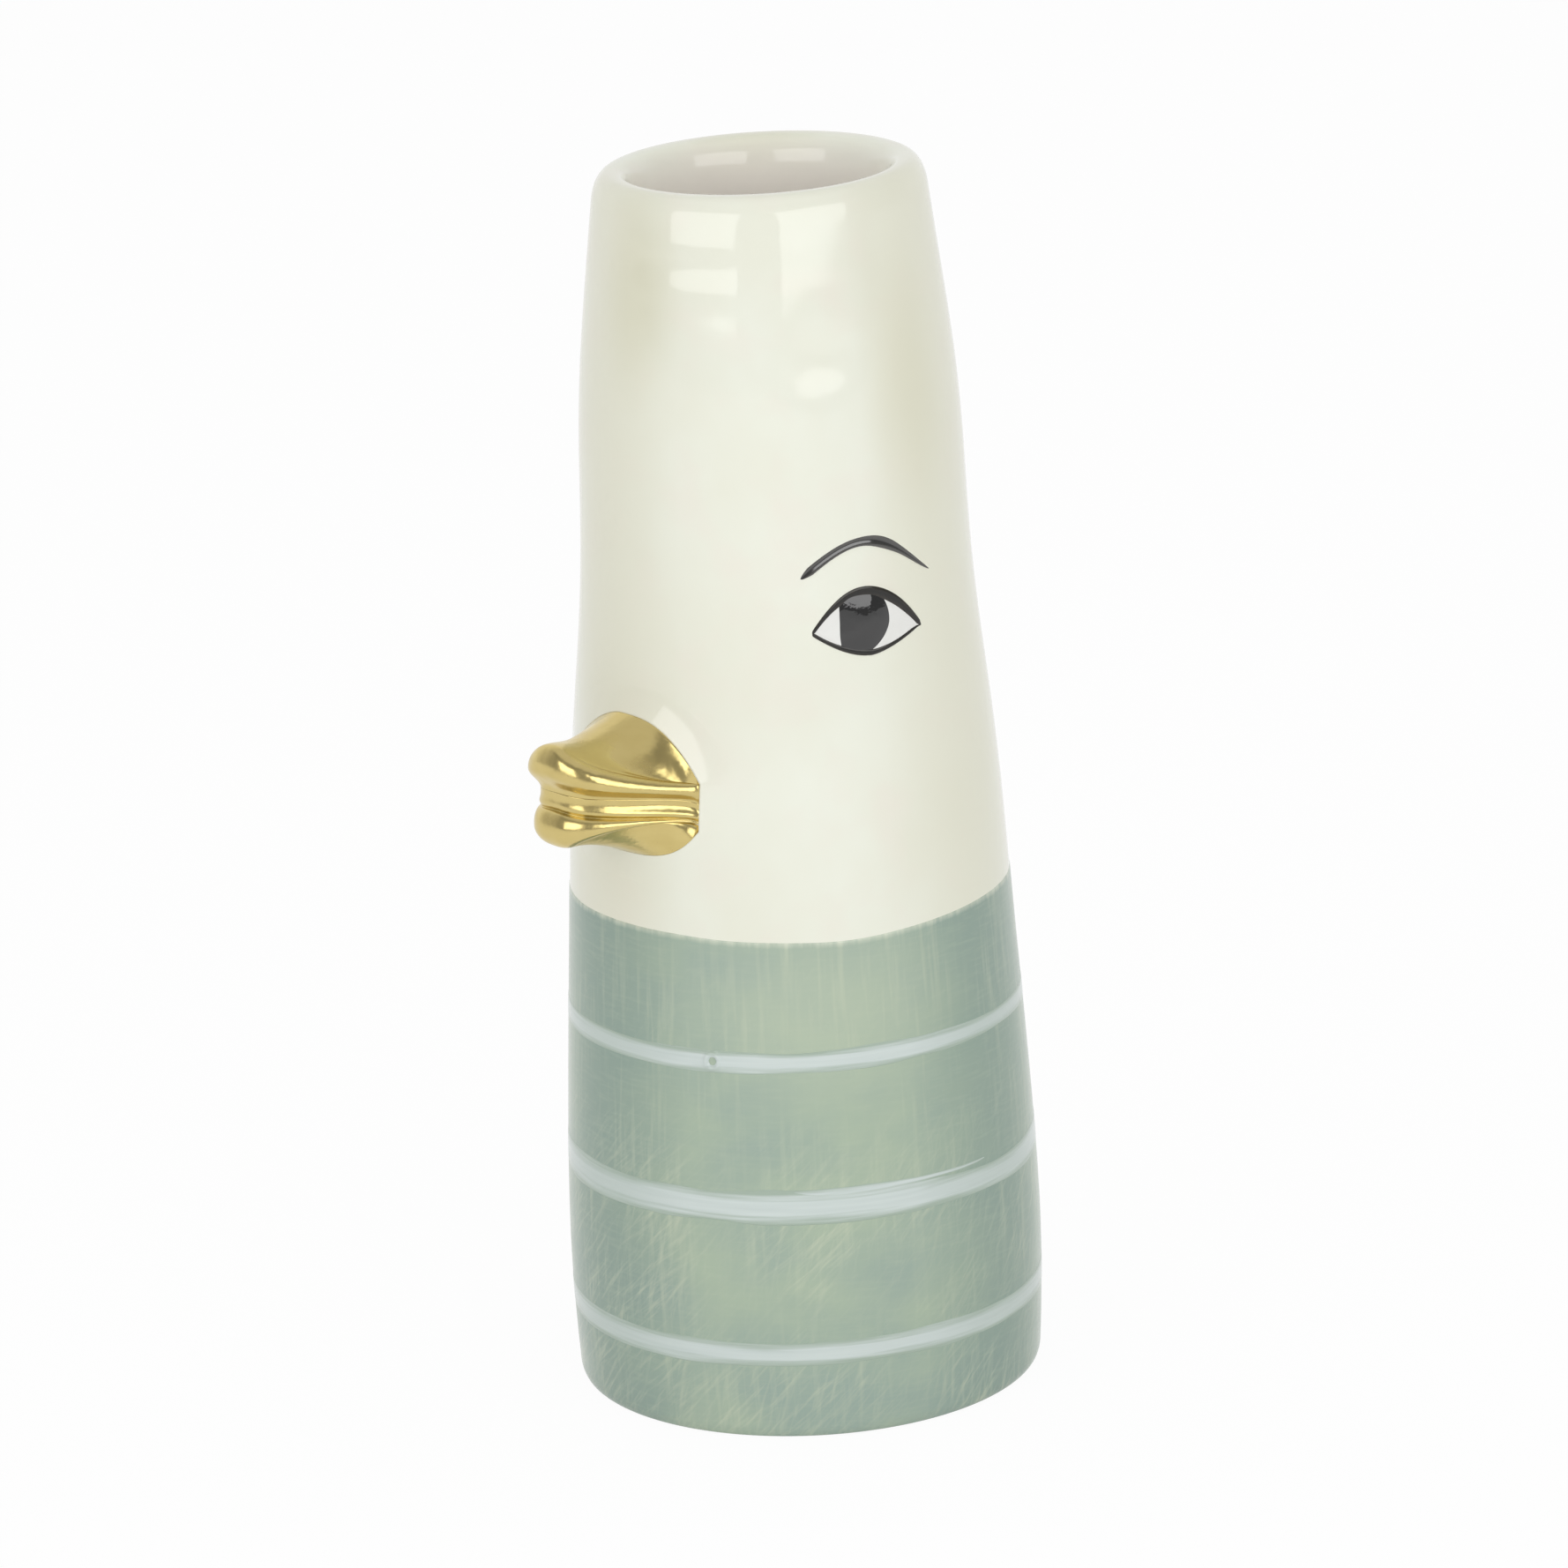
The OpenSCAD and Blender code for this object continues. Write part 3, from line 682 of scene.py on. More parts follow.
lid_u = EYE_HALF * (2 * stroke_share - 1)
brow_u = BROW_HALF * (2 * stroke_share - 1)
brow_curve = np.polynomial.Polynomial.fit(np.linspace(0, 1, 5), np.array(BROW_HEIGHTS_MM) * MM, 4)
upper_half = brushed_width(0.18, 0.54, at=0.56, spread=0.41, start=0.012, end=0.03, power=3)
lower_half = brushed_width(0.24, 0.2, at=0.42, spread=0.24, start=0.012, end=0.1)
brow_half = brushed_width(0.6, 0.21, at=0.57, spread=0.13, start=0.06, end=0.34)
upper_lid = stroke(lid_u, upper_edge(lid_u), upper_half, UPPER_LID_RELIEF)
lower_lid = stroke(lid_u, lower_edge(lid_u), lower_half, LOWER_LID_RELIEF)
brow = stroke(brow_u, brow_curve(stroke_share), brow_half, BROW_RELIEF, BROW_RUN_DOWN)
upper_lids, lower_lids, brows = [
    both_sides(name, points, False, "line_black", node, edge=np.abs(across))
    for name, points, node in (("upper_lid_enamel", upper_lid, "lid_line"),
                               ("lower_lid_enamel", lower_lid, "lid_line"), ("brow_enamel", brow, "brow"))]

# %% [markdown]
# ## The bill
# The bill was modelled by hand, stuck to the wall with wet clay and painted with gold lustre.
# It has an upper and a lower half, each with a rolled lip. Both are a row of upright sections
# from one corner of the mouth to the other. A section's turn is 0 at the tip and 90 degrees at
# the corners, and powers of the turn's sine and cosine carry every line of the bill from its
# middle to its ends. They are the lines that shaped the solids, on a finer grid, with a
# sharper flare at the root and rounder lips.

# %% Name the sizes of the bill
upper_low, upper_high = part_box("bill_upper")
lower_low, lower_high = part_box("bill_lower")
MOUTH_RISE = 1.3 * MM
MOUTH_FALL = 1.8 * MM
BILL_Z = lower_high.z - MOUTH_RISE
TIP_Y = -upper_low.y
ROOT_RISE = upper_high.z - BILL_Z
ROOT_DROP = BILL_Z - lower_low.z
COLLAR_T = 0.8 * MM
HALF_ANGLE = np.radians(26)
CORNER_RISE = 1.6 * MM
CORNER_DROP = 5.2 * MM
RIDGE_RISE = 8.2 * MM
GROOVE_DROP = 1.4 * MM
GROOVE_FALL = 4.3 * MM
CHIN_H = 5.6 * MM
CHIN_SIDE = 0.4 * MM
LIP_ROLL = 2.1 * MM
CHIN_ROLL = 2.8 * MM
NOTCH = 1.7 * MM
CHIN_INSET = 0.2 * MM
SADDLE_DIP = 0.35 * MM
SIDE_DIP = 0.2 * MM
FLARE_SHARE = 0.9
FRONT_SHARE = 0.5
CHIN_SHARE = 0.55
BILL_LIP_POWERS = (3, 1.5)
ARCH_POWERS = (2.9, 1.6)
RIDGE_POWER = 3.2
MOUTH_POWER = 1.2
GROOVE_POWER = 1.6
CHIN_POWERS = (5, 2)
ROOT_POWER = 4.5
NOTCH_POWER = 0.6
SECOND_SHARES = (0.2, 0.9)
ROLL_POWER = 0.8
SADDLE_POWER = 1.5
UNDER_POWER = 1.8
root_radius = float(outline(BILL_Z)) + COLLAR_T
corner_x = root_radius * np.sin(HALF_ANGLE)
corner_y = root_radius * np.cos(HALF_ANGLE)
print("bill's middle in mm:", round(BILL_Z / MM, 1), "reach:", round((TIP_Y - outline(BILL_Z)) / MM, 1))

# %% [markdown]
# Seen from above, the lip is blunt at the tip, has soft shoulders and runs straight back to the
# corners. The direction square to that outline is needed too, because the lips, the notch and
# the grooves all lie a certain depth behind it. The arch over the root and the chin have one
# power on the duck's left and another on its right, because the photograph shows them uneven.

# %% Draw the lines of the bill
bill_turn = np.radians(np.linspace(-89.9, 89.9, 360))[:, None]
tipness = np.cos(bill_turn)
sideness = np.abs(np.sin(bill_turn))
on_left = bill_turn > 0

bill_x = corner_x * np.sin(bill_turn)
lip_y = blend(corner_y, TIP_Y, (1 - sideness ** BILL_LIP_POWERS[0]) ** BILL_LIP_POWERS[1])
step_x, step_y = np.gradient(bill_x, axis=0), np.gradient(lip_y, axis=0)
out_x, out_y = -step_y / np.hypot(step_x, step_y), step_x / np.hypot(step_x, step_y)

arch_z = blend(ROOT_RISE, CORNER_RISE, sideness ** np.where(on_left, *ARCH_POWERS))
ridge_z = blend(CORNER_RISE, RIDGE_RISE, tipness ** RIDGE_POWER)
mouth_z = blend(-MOUTH_FALL, MOUTH_RISE, tipness ** MOUTH_POWER)
groove_z = -blend(GROOVE_FALL, GROOVE_DROP, tipness ** GROOVE_POWER)
chin_z = groove_z - blend(CHIN_SIDE, CHIN_H, tipness ** np.where(on_left, *CHIN_POWERS))
root_z = -blend(ROOT_DROP, CORNER_DROP, sideness ** ROOT_POWER)
notch_in = NOTCH * tipness ** NOTCH_POWER
second_in = notch_in * blend(*SECOND_SHARES, tipness)
chin_in = blend(notch_in, CHIN_INSET, tipness ** 2)
print("lip's outline, middle and shoulder in mm:", round(lip_y.max() / MM, 1),
      round(float(lip_y[np.abs(bill_x - 6 * MM).argmin(), 0]) / MM, 1))

# %% [markdown]
# A point of a section is given by its depth behind the lip's outline and its height over the
# middle of the bill. The upper half starts in the wall at its root, where it flares up like a
# collar, dips over a saddle, rolls over the lip in a quarter of an ellipse, and curves back into
# the notch of the mouth.

# %% Make the upper half of the bill
def root_points(z, over):
    """Points of the root: on the wall at the sections, lifted over it by a little."""
    y = np.sqrt((outline(BILL_Z + z) + over) ** 2 - bill_x ** 2)
    return np.stack([bill_x, -y, BILL_Z + z], axis=-1)


def lip_points(depth, z):
    """Points behind the lip's outline, moved square to it by a depth."""
    depth, z = np.broadcast_arrays(depth, z)
    return np.stack([bill_x - out_x * depth, -(lip_y - out_y * depth), BILL_Z + z], axis=-1)


def capped(points):
    """The same rows between two poles, which close the first and the last section."""
    ends = points[[0, -1]].mean(axis=1, keepdims=True) * np.ones((1, points.shape[1], 1))
    return np.concatenate([ends[:1], points, ends[1:]])


saddle = spaced(0, 1, 70)
roll = spaced(0, 1, 30)[:, 1:]
roll_angle = np.pi / 2 * (1 - roll)
lip_roll = LIP_ROLL * tipness ** ROLL_POWER
front_z = blend(mouth_z, ridge_z, FRONT_SHARE)
dip = SADDLE_DIP * tipness + SIDE_DIP * np.sin(2 * bill_turn) ** 2
flare = unit(1 - saddle / FLARE_SHARE) ** 3
saddle_points = blend(root_points(arch_z, COLLAR_T), lip_points(lip_roll, ridge_z), saddle[..., None])
saddle_points[..., 2] = (BILL_Z + blend(ridge_z, arch_z, flare)
                         - dip * np.sin(np.pi * saddle ** SADDLE_POWER) ** 2)
upper_bill = np.concatenate([
    root_points(arch_z, -COAT), saddle_points,
    lip_points(lip_roll * (1 - np.cos(roll_angle)), blend(front_z, ridge_z, np.sin(roll_angle))),
    lip_points(notch_in * ease(roll), blend(front_z, mouth_z, roll)),
    root_points(mouth_z, -COAT)], axis=1)
bill_upper = new_piece("bill_upper_lustre", capped(upper_bill), False, "gold_lustre", ["bill_upper"])

# %% [markdown]
# The lower half starts in the notch with a second ridge, which is sharp on the sides and fades
# towards the tip. Below it the lower lip swells out in a quarter of an ellipse, rolls under in
# another, and runs back to the wall.

# %% Make the lower half of the bill
chin_roll = CHIN_ROLL * tipness ** ROLL_POWER
chin_front_z = blend(groove_z, chin_z, CHIN_SHARE)
under_sin, under_cos = np.sin(np.pi / 2 * roll), np.cos(np.pi / 2 * roll)
ridge_share = spaced(0, 1, 30)
ridge_in = blend(notch_in, second_in, np.sin(np.pi * ridge_share ** 2) ** 2)
under_points = blend(lip_points(chin_roll, chin_z), root_points(root_z, COLLAR_T), saddle[:, 1:, None])
under_points[..., 2] = BILL_Z + blend(chin_z, root_z, saddle[:, 1:] ** UNDER_POWER)
lower_bill = np.concatenate([
    root_points(mouth_z, -COAT),
    lip_points(ridge_in, blend(mouth_z, groove_z, ridge_share)),
    lip_points(blend(notch_in, chin_in, under_sin), blend(chin_front_z, groove_z, under_cos)),
    lip_points(blend(chin_roll, chin_in, under_cos), blend(chin_front_z, chin_z, under_sin)),
    under_points, root_points(root_z, -COAT)], axis=1)
bill_lower = new_piece("bill_lower_lustre", capped(lower_bill), False, "gold_lustre", ["bill_lower"])

# %% [markdown]
# ## The collar round the bill
# Wet clay was smoothed into the corner between the bill and the wall, and glazed with the
# rest. It is a soft fillet: a band outside the root's outline that falls from the bill's side
# to nothing. The band runs round the outline, with its outward direction taken square to it.

# %% Make the collar
COLLAR_W = 5.2 * MM
COLLAR_SINK = 0.015 * MM
STEPS_ASIDE = 4
root_line = np.concatenate([np.concatenate([bill_x, arch_z], axis=1),
                            np.concatenate([bill_x, root_z], axis=1)[::-1]])[:, None, :]
step_on = np.roll(root_line, -STEPS_ASIDE, axis=0) - np.roll(root_line, STEPS_ASIDE, axis=0)
square_to = np.stack([-step_on[..., 1], step_on[..., 0]], axis=-1)
outwards = square_to / np.linalg.norm(square_to, axis=-1, keepdims=True)
band_share = spaced(0, 1, 30)
collar_share = np.concatenate([band_share, band_share[:, ::-1]], axis=1)
collar_under = np.repeat([COLLAR_SINK, COAT + COLLAR_T], band_share.size)[None, :]
collar_at = root_line + outwards * (COLLAR_W * collar_share)[..., None]
collar_x, collar_z = collar_at[..., 0], BILL_Z + collar_at[..., 1]
collar_wall = wall_radius(np.arcsin(collar_x / outline(collar_z)), collar_z)
collar_radius = blend(collar_wall, outline(collar_z) + COLLAR_T, (1 - collar_share) ** 2) - collar_under
collar_points = np.stack([collar_x, -np.sqrt(collar_radius ** 2 - collar_x ** 2), collar_z], axis=-1)
bill_collar = new_piece("bill_collar_glaze", collar_points, True, "cream_glaze", ["bill_collar"])

# %% [markdown]
# ## Materials
# A material is a graph of nodes. One helper turns a colour as it is written on a screen into the
# linear light that Blender adds up, and one adds a node with its settings and its links. Patterns
# read the piece's own coordinates in metres, so a feature of so many millimetres repeats one over
# that many times per metre. A finish is painted like the real one: a ground colour, then layers
# over it, each with a pattern that says how much of it there is.

# %% Helpers for the materials
def colour(hex_text):
    """An sRGB hex colour as linear red, green, blue and a full alpha."""
    value = np.array([int(hex_text[k:k + 2], 16) for k in (1, 3, 5)]) / 255
    linear = np.where(value <= 0.04045, value / 12.92, ((value + 0.055) / 1.055) ** 2.4)
    return (*linear.tolist(), 1.0)


def add_node(tree, kind, inputs=None, **settings):
    """One node: its settings first, then each input as a value or as a link from an output."""
    made = tree.nodes.new(kind)
    for name, value in settings.items():
        setattr(made, name, value)
    for key, value in (inputs or {}).items():
        if isinstance(value, bpy.types.NodeSocket):
            tree.links.new(value, made.inputs[key])
        else:
            made.inputs[key].default_value = value
    return made


def per_metre(*sizes_mm):
    """How often features of these sizes repeat in a metre, along x, y and z."""
    return tuple(1 / (size * MM) for size in sizes_mm)


def new_material(name, pieces, roughness, ior=1.5, metallic=0.0):
    """A material with one main shader, on every piece that has this finish."""
    made = bpy.data.materials.new(name)
    made.use_nodes = True
    shader = made.node_tree.nodes["Principled BSDF"]
    shader.inputs["Roughness"].default_value = roughness
    shader.inputs["IOR"].default_value = ior
    shader.inputs["Metallic"].default_value = metallic
    for piece in pieces:
        piece.data.materials.clear()
        piece.data.materials.append(made)
    print("material", name, "on", len(pieces))
    return made.node_tree, shader


def paint(tree, shader, ground, *layers):
    """Gives the shader a ground colour and layers over it. A layer is a share and a colour: what
    shows is that share of the way from the colour under it to its own."""
    shown = colour(ground)
    for share, layer in layers:
        shown = add_node(tree, "ShaderNodeMix", {0: share, 6: shown, 7: colour(layer)},
                         data_type="RGBA").outputs[2]
    tree.links.new(shown, shader.inputs["Base Color"])


print("middle grey in linear light:", round(colour("#808080")[0], 3))

# %% [markdown]
# Two helpers paint light and shade into a glaze's colour. One gives upright bands of painted
# shade, three round the vase, two of them 60 degrees to either side of the camera, so that the
# sides seen from the camera turn darker. The other gives single soft spots, used for painted shade
# and for painted light. Both give a share from 0 to 1 that a layer can take.

# %% Helpers for painted shade and light
SHADE_LOBES = 3.0


def painted_side_shade(tree, where):
    """Painted shade in three upright bands round the vase: 1 in the bands and 0 between them. It is
    the cosine of three times the angle from the camera's side of the vase, turned over, so that 0.1
    and more gives 0 and -1 gives 1."""
    parts = add_node(tree, "ShaderNodeSeparateXYZ", {0: where}).outputs
    ahead = add_node(tree, "ShaderNodeMath", {0: parts["Y"], 1: -1.0}, operation="MULTIPLY")
    turn = add_node(tree, "ShaderNodeMath", {0: parts["X"], 1: ahead.outputs[0]}, operation="ARCTAN2")
    three_turns = add_node(tree, "ShaderNodeMath",
                           {0: turn.outputs[0], 1: SHADE_LOBES, 2: -SHADE_LOBES * CAMERA_TURN},
                           operation="MULTIPLY_ADD")
    wave = add_node(tree, "ShaderNodeMath", {0: three_turns.outputs[0]}, operation="COSINE")
    return add_node(tree, "ShaderNodeMapRange",
                    {"Value": wave.outputs[0], "From Min": 0.1, "From Max": -1.0}).outputs[0]


def painted_shading_spot(tree, where, turn, height, wide_mm, tall_mm, most):
    """A soft spot on the wall, used for painted shade and for painted light: its most in the middle,
    and less with the distance from there in units of its width and its height, along a smooth step
    to nothing at 1.2 units."""
    middle = around(turn, float(outline(height)), height)
    from_middle = add_node(tree, "ShaderNodeVectorMath", {0: where, 1: tuple(middle)},
                           operation="SUBTRACT")
    in_units = add_node(tree, "ShaderNodeVectorMath",
                        {0: from_middle.outputs[0], 1: per_metre(wide_mm, wide_mm, tall_mm)},
                        operation="MULTIPLY")
    away = add_node(tree, "ShaderNodeVectorMath", {0: in_units.outputs[0]}, operation="LENGTH")
    return add_node(tree, "ShaderNodeMapRange",
                    {"Value": away.outputs["Value"], "From Min": 0.1, "From Max": 1.2,
                     "To Min": most, "To Max": 0.0}, interpolation_type="SMOOTHSTEP").outputs[0]


print("lanes at degrees:", [round(np.degrees(CAMERA_TURN)) + 60 + 120 * k for k in range(3)])

# %% [markdown]
# ### Cream glaze
# A transparent glaze over white slip, fired glossy. It pools in soft clouds a few centimetres
# wide, slightly warmer where it is thick and greyer where it is thin. Painted shade turns it
# olive in three upright bands at the sides seen from the camera, and in a spot on either side
# of the neck as seen from the camera. Over the lip it turns paler and pinker, which is painted
# light for the light that falls into the mouth. The surface is as smooth as glass but not flat,
# so a very shallow bump a few millimetres wide moves its reflections.

# %% Cream glaze
# Two spots of painted shade, on either side of the neck as seen from the camera.
NECK_SHADE_SPOTS = ((np.radians(3), 166 * MM, 8, 17, 0.75), (np.radians(97), 152 * MM, 8, 24, 0.55))
# Painted light: a paler, pinker colour over the lip and in the mouth.
MOUTH_PAINTED_LIGHT = "#f8f3ea"
CREAM_SIDE_SHADE = 0.75
tree, shader = new_material("cream_glossy_glaze", [cream_coat, bill_collar], 0.07, ior=1.48)
where = add_node(tree, "ShaderNodeTexCoord").outputs["Object"]
clouds_at = add_node(tree, "ShaderNodeMapping", {"Vector": where, "Scale": per_metre(22, 22, 34)})
clouds = add_node(tree, "ShaderNodeTexNoise",
                  {"Vector": clouds_at.outputs[0], "Scale": 1.0, "Detail": 3.0})
cloud_share = add_node(tree, "ShaderNodeMapRange",
                       {"Value": clouds.outputs["Fac"], "From Min": 0.35, "From Max": 0.68})
tint_at = add_node(tree, "ShaderNodeMapping", {"Vector": where, "Scale": per_metre(9, 9, 9)})
tint = add_node(tree, "ShaderNodeTexNoise", {"Vector": tint_at.outputs[0], "Scale": 1.0, "Detail": 2.0})
tint_share = add_node(tree, "ShaderNodeMapRange",
                      {"Value": tint.outputs["Fac"], "From Min": 0.5, "From Max": 0.8, "To Max": 0.5})
# Painted shade: the cream turns olive in upright bands at the sides seen from the camera.
side_shade_share = add_node(tree, "ShaderNodeMath", {0: painted_side_shade(tree, where), 1: CREAM_SIDE_SHADE},
                      operation="MULTIPLY")
neck_shade = [(painted_shading_spot(tree, where, *place), "#d6d4bc") for place in NECK_SHADE_SPOTS]
over = add_node(tree, "ShaderNodeAttribute", attribute_name="inward")
over_lip = add_node(tree, "ShaderNodeMapRange",
                    {"Value": over.outputs["Fac"], "From Min": 0.2, "From Max": 0.9})
paint(tree, shader, "#e9ebde", (cloud_share.outputs[0], "#e4e4d4"), (tint_share.outputs[0], "#e8e1d5"),
      (side_shade_share.outputs[0], "#dfdecb"), *neck_shade, (over_lip.outputs[0], MOUTH_PAINTED_LIGHT))
skin_at = add_node(tree, "ShaderNodeMapping", {"Vector": where, "Scale": per_metre(5, 5, 7)})
skin_noise = add_node(tree, "ShaderNodeTexNoise",
                      {"Vector": skin_at.outputs[0], "Scale": 1.0, "Detail": 1.0})
skin_bump = add_node(tree, "ShaderNodeBump",
                     {"Height": skin_noise.outputs["Fac"], "Strength": 1.0, "Distance": 0.035 * MM})
tree.links.new(skin_bump.outputs[0], shader.inputs["Normal"])

# %% [markdown]
# ### Liner glaze
# The same glaze inside, over bare clay, so that a pinkish beige shows through. Its colour is
# painted paler than the glaze. Near the lip it turns to the cream's painted light in the mouth,
# and that painted light fades out towards the floor, so it is darker deeper down.

# %% Liner glaze
PAINTED_LIGHT_FADE = 25 * MM
tree, shader = new_material("liner_glaze_and_painted_light", [liner_coat], 0.12)
where = add_node(tree, "ShaderNodeTexCoord").outputs["Object"]
clouds_at = add_node(tree, "ShaderNodeMapping", {"Vector": where, "Scale": per_metre(14, 14, 20)})
clouds = add_node(tree, "ShaderNodeTexNoise",
                  {"Vector": clouds_at.outputs[0], "Scale": 1.0, "Detail": 3.0})
height = add_node(tree, "ShaderNodeSeparateXYZ", {0: where}).outputs["Z"]
# Painted light near the lip, fading out downwards.
near_lip = add_node(tree, "ShaderNodeMapRange",
                    {"Value": height, "From Min": TAIL_Z - PAINTED_LIGHT_FADE, "From Max": TAIL_Z})
paint(tree, shader, "#f3ece2", (clouds.outputs["Fac"], "#ebe2d6"), (near_lip.outputs[0], MOUTH_PAINTED_LIGHT))
skin_at = add_node(tree, "ShaderNodeMapping", {"Vector": where, "Scale": per_metre(6, 6, 6)})
skin_noise = add_node(tree, "ShaderNodeTexNoise",
                      {"Vector": skin_at.outputs[0], "Scale": 1.0, "Detail": 1.0})
skin_bump = add_node(tree, "ShaderNodeBump",
                     {"Height": skin_noise.outputs["Fac"], "Strength": 1.0, "Distance": 0.05 * MM})
tree.links.new(skin_bump.outputs[0], shader.inputs["Normal"])

# %% [markdown]
# ### Green brushed glaze
# A semi-clear green laid on with a stiff brush in several directions. Pale upright streaks show
# where the bristles dragged, and slanting ones where a second pass went round, most of them low
# down. Each kind of streak is a stretched noise: fine across the stroke, long along it. To slant
# it, the coordinates are twisted about the axis by an angle that grows with the height. The
# streaks are strong in some zones and nearly gone in others.

# %% Brush marks in the green
SLANTS = ((8.0, 9, 0.4), (25.0, 6, 0.5), (36.0, 5, 0.4))
FEW_SLANTS_Z = 50 * MM
MOST_SLANTS_Z = 34 * MM
tree, shader = new_material("green_brushed_glaze", [green_coat], 0.2, ior=1.4)
where = add_node(tree, "ShaderNodeTexCoord").outputs["Object"]
zones_at = add_node(tree, "ShaderNodeMapping",
                    {"Vector": where, "Location": (3.1, 0.4, 1.7), "Scale": per_metre(15, 15, 18)})
zones = add_node(tree, "ShaderNodeTexNoise",
                 {"Vector": zones_at.outputs[0], "Scale": 1.0, "Detail": 2.0})
zone_share = add_node(tree, "ShaderNodeMapRange",
                      {"Value": zones.outputs["Fac"], "From Min": 0.36, "From Max": 0.6, "To Min": 0.15})
upright_at = add_node(tree, "ShaderNodeMapping", {"Vector": where, "Scale": per_metre(1.1, 1.1, 22)})
upright = add_node(tree, "ShaderNodeTexNoise",
                   {"Vector": upright_at.outputs[0], "Scale": 1.0, "Detail": 4.0})
upright_line = add_node(tree, "ShaderNodeMapRange", {"Value": upright.outputs["Fac"], "From Min": 0.5,
                                                     "From Max": 0.78, "To Max": 0.45})
upright_share = add_node(tree, "ShaderNodeMath",
                         {0: upright_line.outputs[0], 1: zone_share.outputs[0]}, operation="MULTIPLY")
height = add_node(tree, "ShaderNodeSeparateXYZ", {0: where}).outputs["Z"]
low_down = add_node(tree, "ShaderNodeMapRange", {"Value": height, "From Min": FEW_SLANTS_Z,
                                                 "From Max": MOST_SLANTS_Z, "To Min": 0.12})
streaks = [(upright_share.outputs[0], "#c3cbb3")]
for slant, length_mm, most in SLANTS:
    twist = add_node(tree, "ShaderNodeMath", {0: height, 1: -slant}, operation="MULTIPLY")
    twisted = add_node(tree, "ShaderNodeVectorRotate", {"Vector": where, "Angle": twist.outputs[0]},
                       rotation_type="Z_AXIS")
    slant_at = add_node(tree, "ShaderNodeMapping",
                        {"Vector": twisted.outputs[0], "Location": (slant, slant, 0.0),
                         "Scale": per_metre(0.9, 0.9, length_mm)})
    slant_noise = add_node(tree, "ShaderNodeTexNoise",
                           {"Vector": slant_at.outputs[0], "Scale": 1.0, "Detail": 2.0})
    slant_line = add_node(tree, "ShaderNodeMapRange", {"Value": slant_noise.outputs["Fac"],
                                                       "From Min": 0.54, "From Max": 0.78, "To Max": most})
    slant_low = add_node(tree, "ShaderNodeMath", {0: slant_line.outputs[0], 1: low_down.outputs[0]},
                         operation="MULTIPLY")
    slant_share = add_node(tree, "ShaderNodeMath", {0: slant_low.outputs[0], 1: zone_share.outputs[0]},
                           operation="MULTIPLY")
    streaks.append((slant_share.outputs[0], "#c4cbb4"))
print("kinds of streak:", len(streaks))

# %% [markdown]
# The green is darker and bluer in faint patches where two coats overlap. It is also darker and
# bluer in three upright bands of painted shade at the sides seen from the camera, and paler in
# one spot of painted light high up on the side that faces the camera. The streaks lie over that,
# with fine level fibres over all, and the cream shows through where the edge runs thin. The
# patches are a little rougher or smoother too, and the bristles left grooves, which the bump takes
# from the upright streaks.

# %% Green glaze
LIT_SPOT = (np.radians(54), 64 * MM, 22, 17, 0.55)
GREEN_SIDE_SHADE = 0.8
patches_at = add_node(tree, "ShaderNodeMapping", {"Vector": where, "Scale": per_metre(20, 20, 13)})
patches = add_node(tree, "ShaderNodeTexNoise",
                   {"Vector": patches_at.outputs[0], "Scale": 1.0, "Detail": 5.0})
patch_share = add_node(tree, "ShaderNodeMapRange",
                       {"Value": patches.outputs["Fac"], "From Min": 0.36, "From Max": 0.68})
# Painted shade: the green turns darker and bluer in upright bands at the sides seen from the camera.
side_shade_share = add_node(tree, "ShaderNodeMath", {0: painted_side_shade(tree, where), 1: GREEN_SIDE_SHADE},
                      operation="MULTIPLY")
# Painted light: a paler spot high up on the side that faces the camera.
lit_share = painted_shading_spot(tree, where, *LIT_SPOT)
fibre_at = add_node(tree, "ShaderNodeMapping", {"Vector": where, "Scale": per_metre(4.5, 4.5, 0.6)})
fibre = add_node(tree, "ShaderNodeTexNoise",
                 {"Vector": fibre_at.outputs[0], "Scale": 1.0, "Detail": 3.0})
fibre_share = add_node(tree, "ShaderNodeMapRange", {"Value": fibre.outputs["Fac"], "From Min": 0.48,
                                                    "From Max": 0.75, "To Max": 0.13})
edge = add_node(tree, "ShaderNodeAttribute", attribute_name="edge").outputs["Fac"]
ragged = add_node(tree, "ShaderNodeMath", {0: edge, 1: upright.outputs["Fac"]}, operation="MULTIPLY")
thin_share = add_node(tree, "ShaderNodeMapRange",
                      {"Value": ragged.outputs[0], "From Min": 0.1, "From Max": 0.6})
paint(tree, shader, "#a7b7a2", (patch_share.outputs[0], "#98aa9f"), (side_shade_share.outputs[0], "#879b91"),
      (lit_share, "#b6c2ac"), *streaks, (fibre_share.outputs[0], "#bcc6b0"),
      (thin_share.outputs[0], "#d3d8c6"))
gloss = add_node(tree, "ShaderNodeMapRange", {"Value": patches.outputs["Fac"], "From Min": 0.3,
                                              "From Max": 0.7, "To Min": 0.14, "To Max": 0.26})
tree.links.new(gloss.outputs[0], shader.inputs["Roughness"])
drag = add_node(tree, "ShaderNodeBump",
                {"Height": upright.outputs["Fac"], "Strength": 1.0, "Distance": 0.025 * MM})
tree.links.new(drag.outputs[0], shader.inputs["Normal"])
print("nodes in the green glaze:", len(tree.nodes))

# %% [markdown]
# ### Pale slip
# The stripes are a thin blue-grey slip under the glaze. The bristles left fine lines along the
# stroke, and the green shows through at the edges, so the colour mixes back to green there.
# Painted shade makes it a little darker and greener in the same upright bands as the glazes.
# Each stripe carries an attribute named edge, 0 along its middle and 1 at its sides.

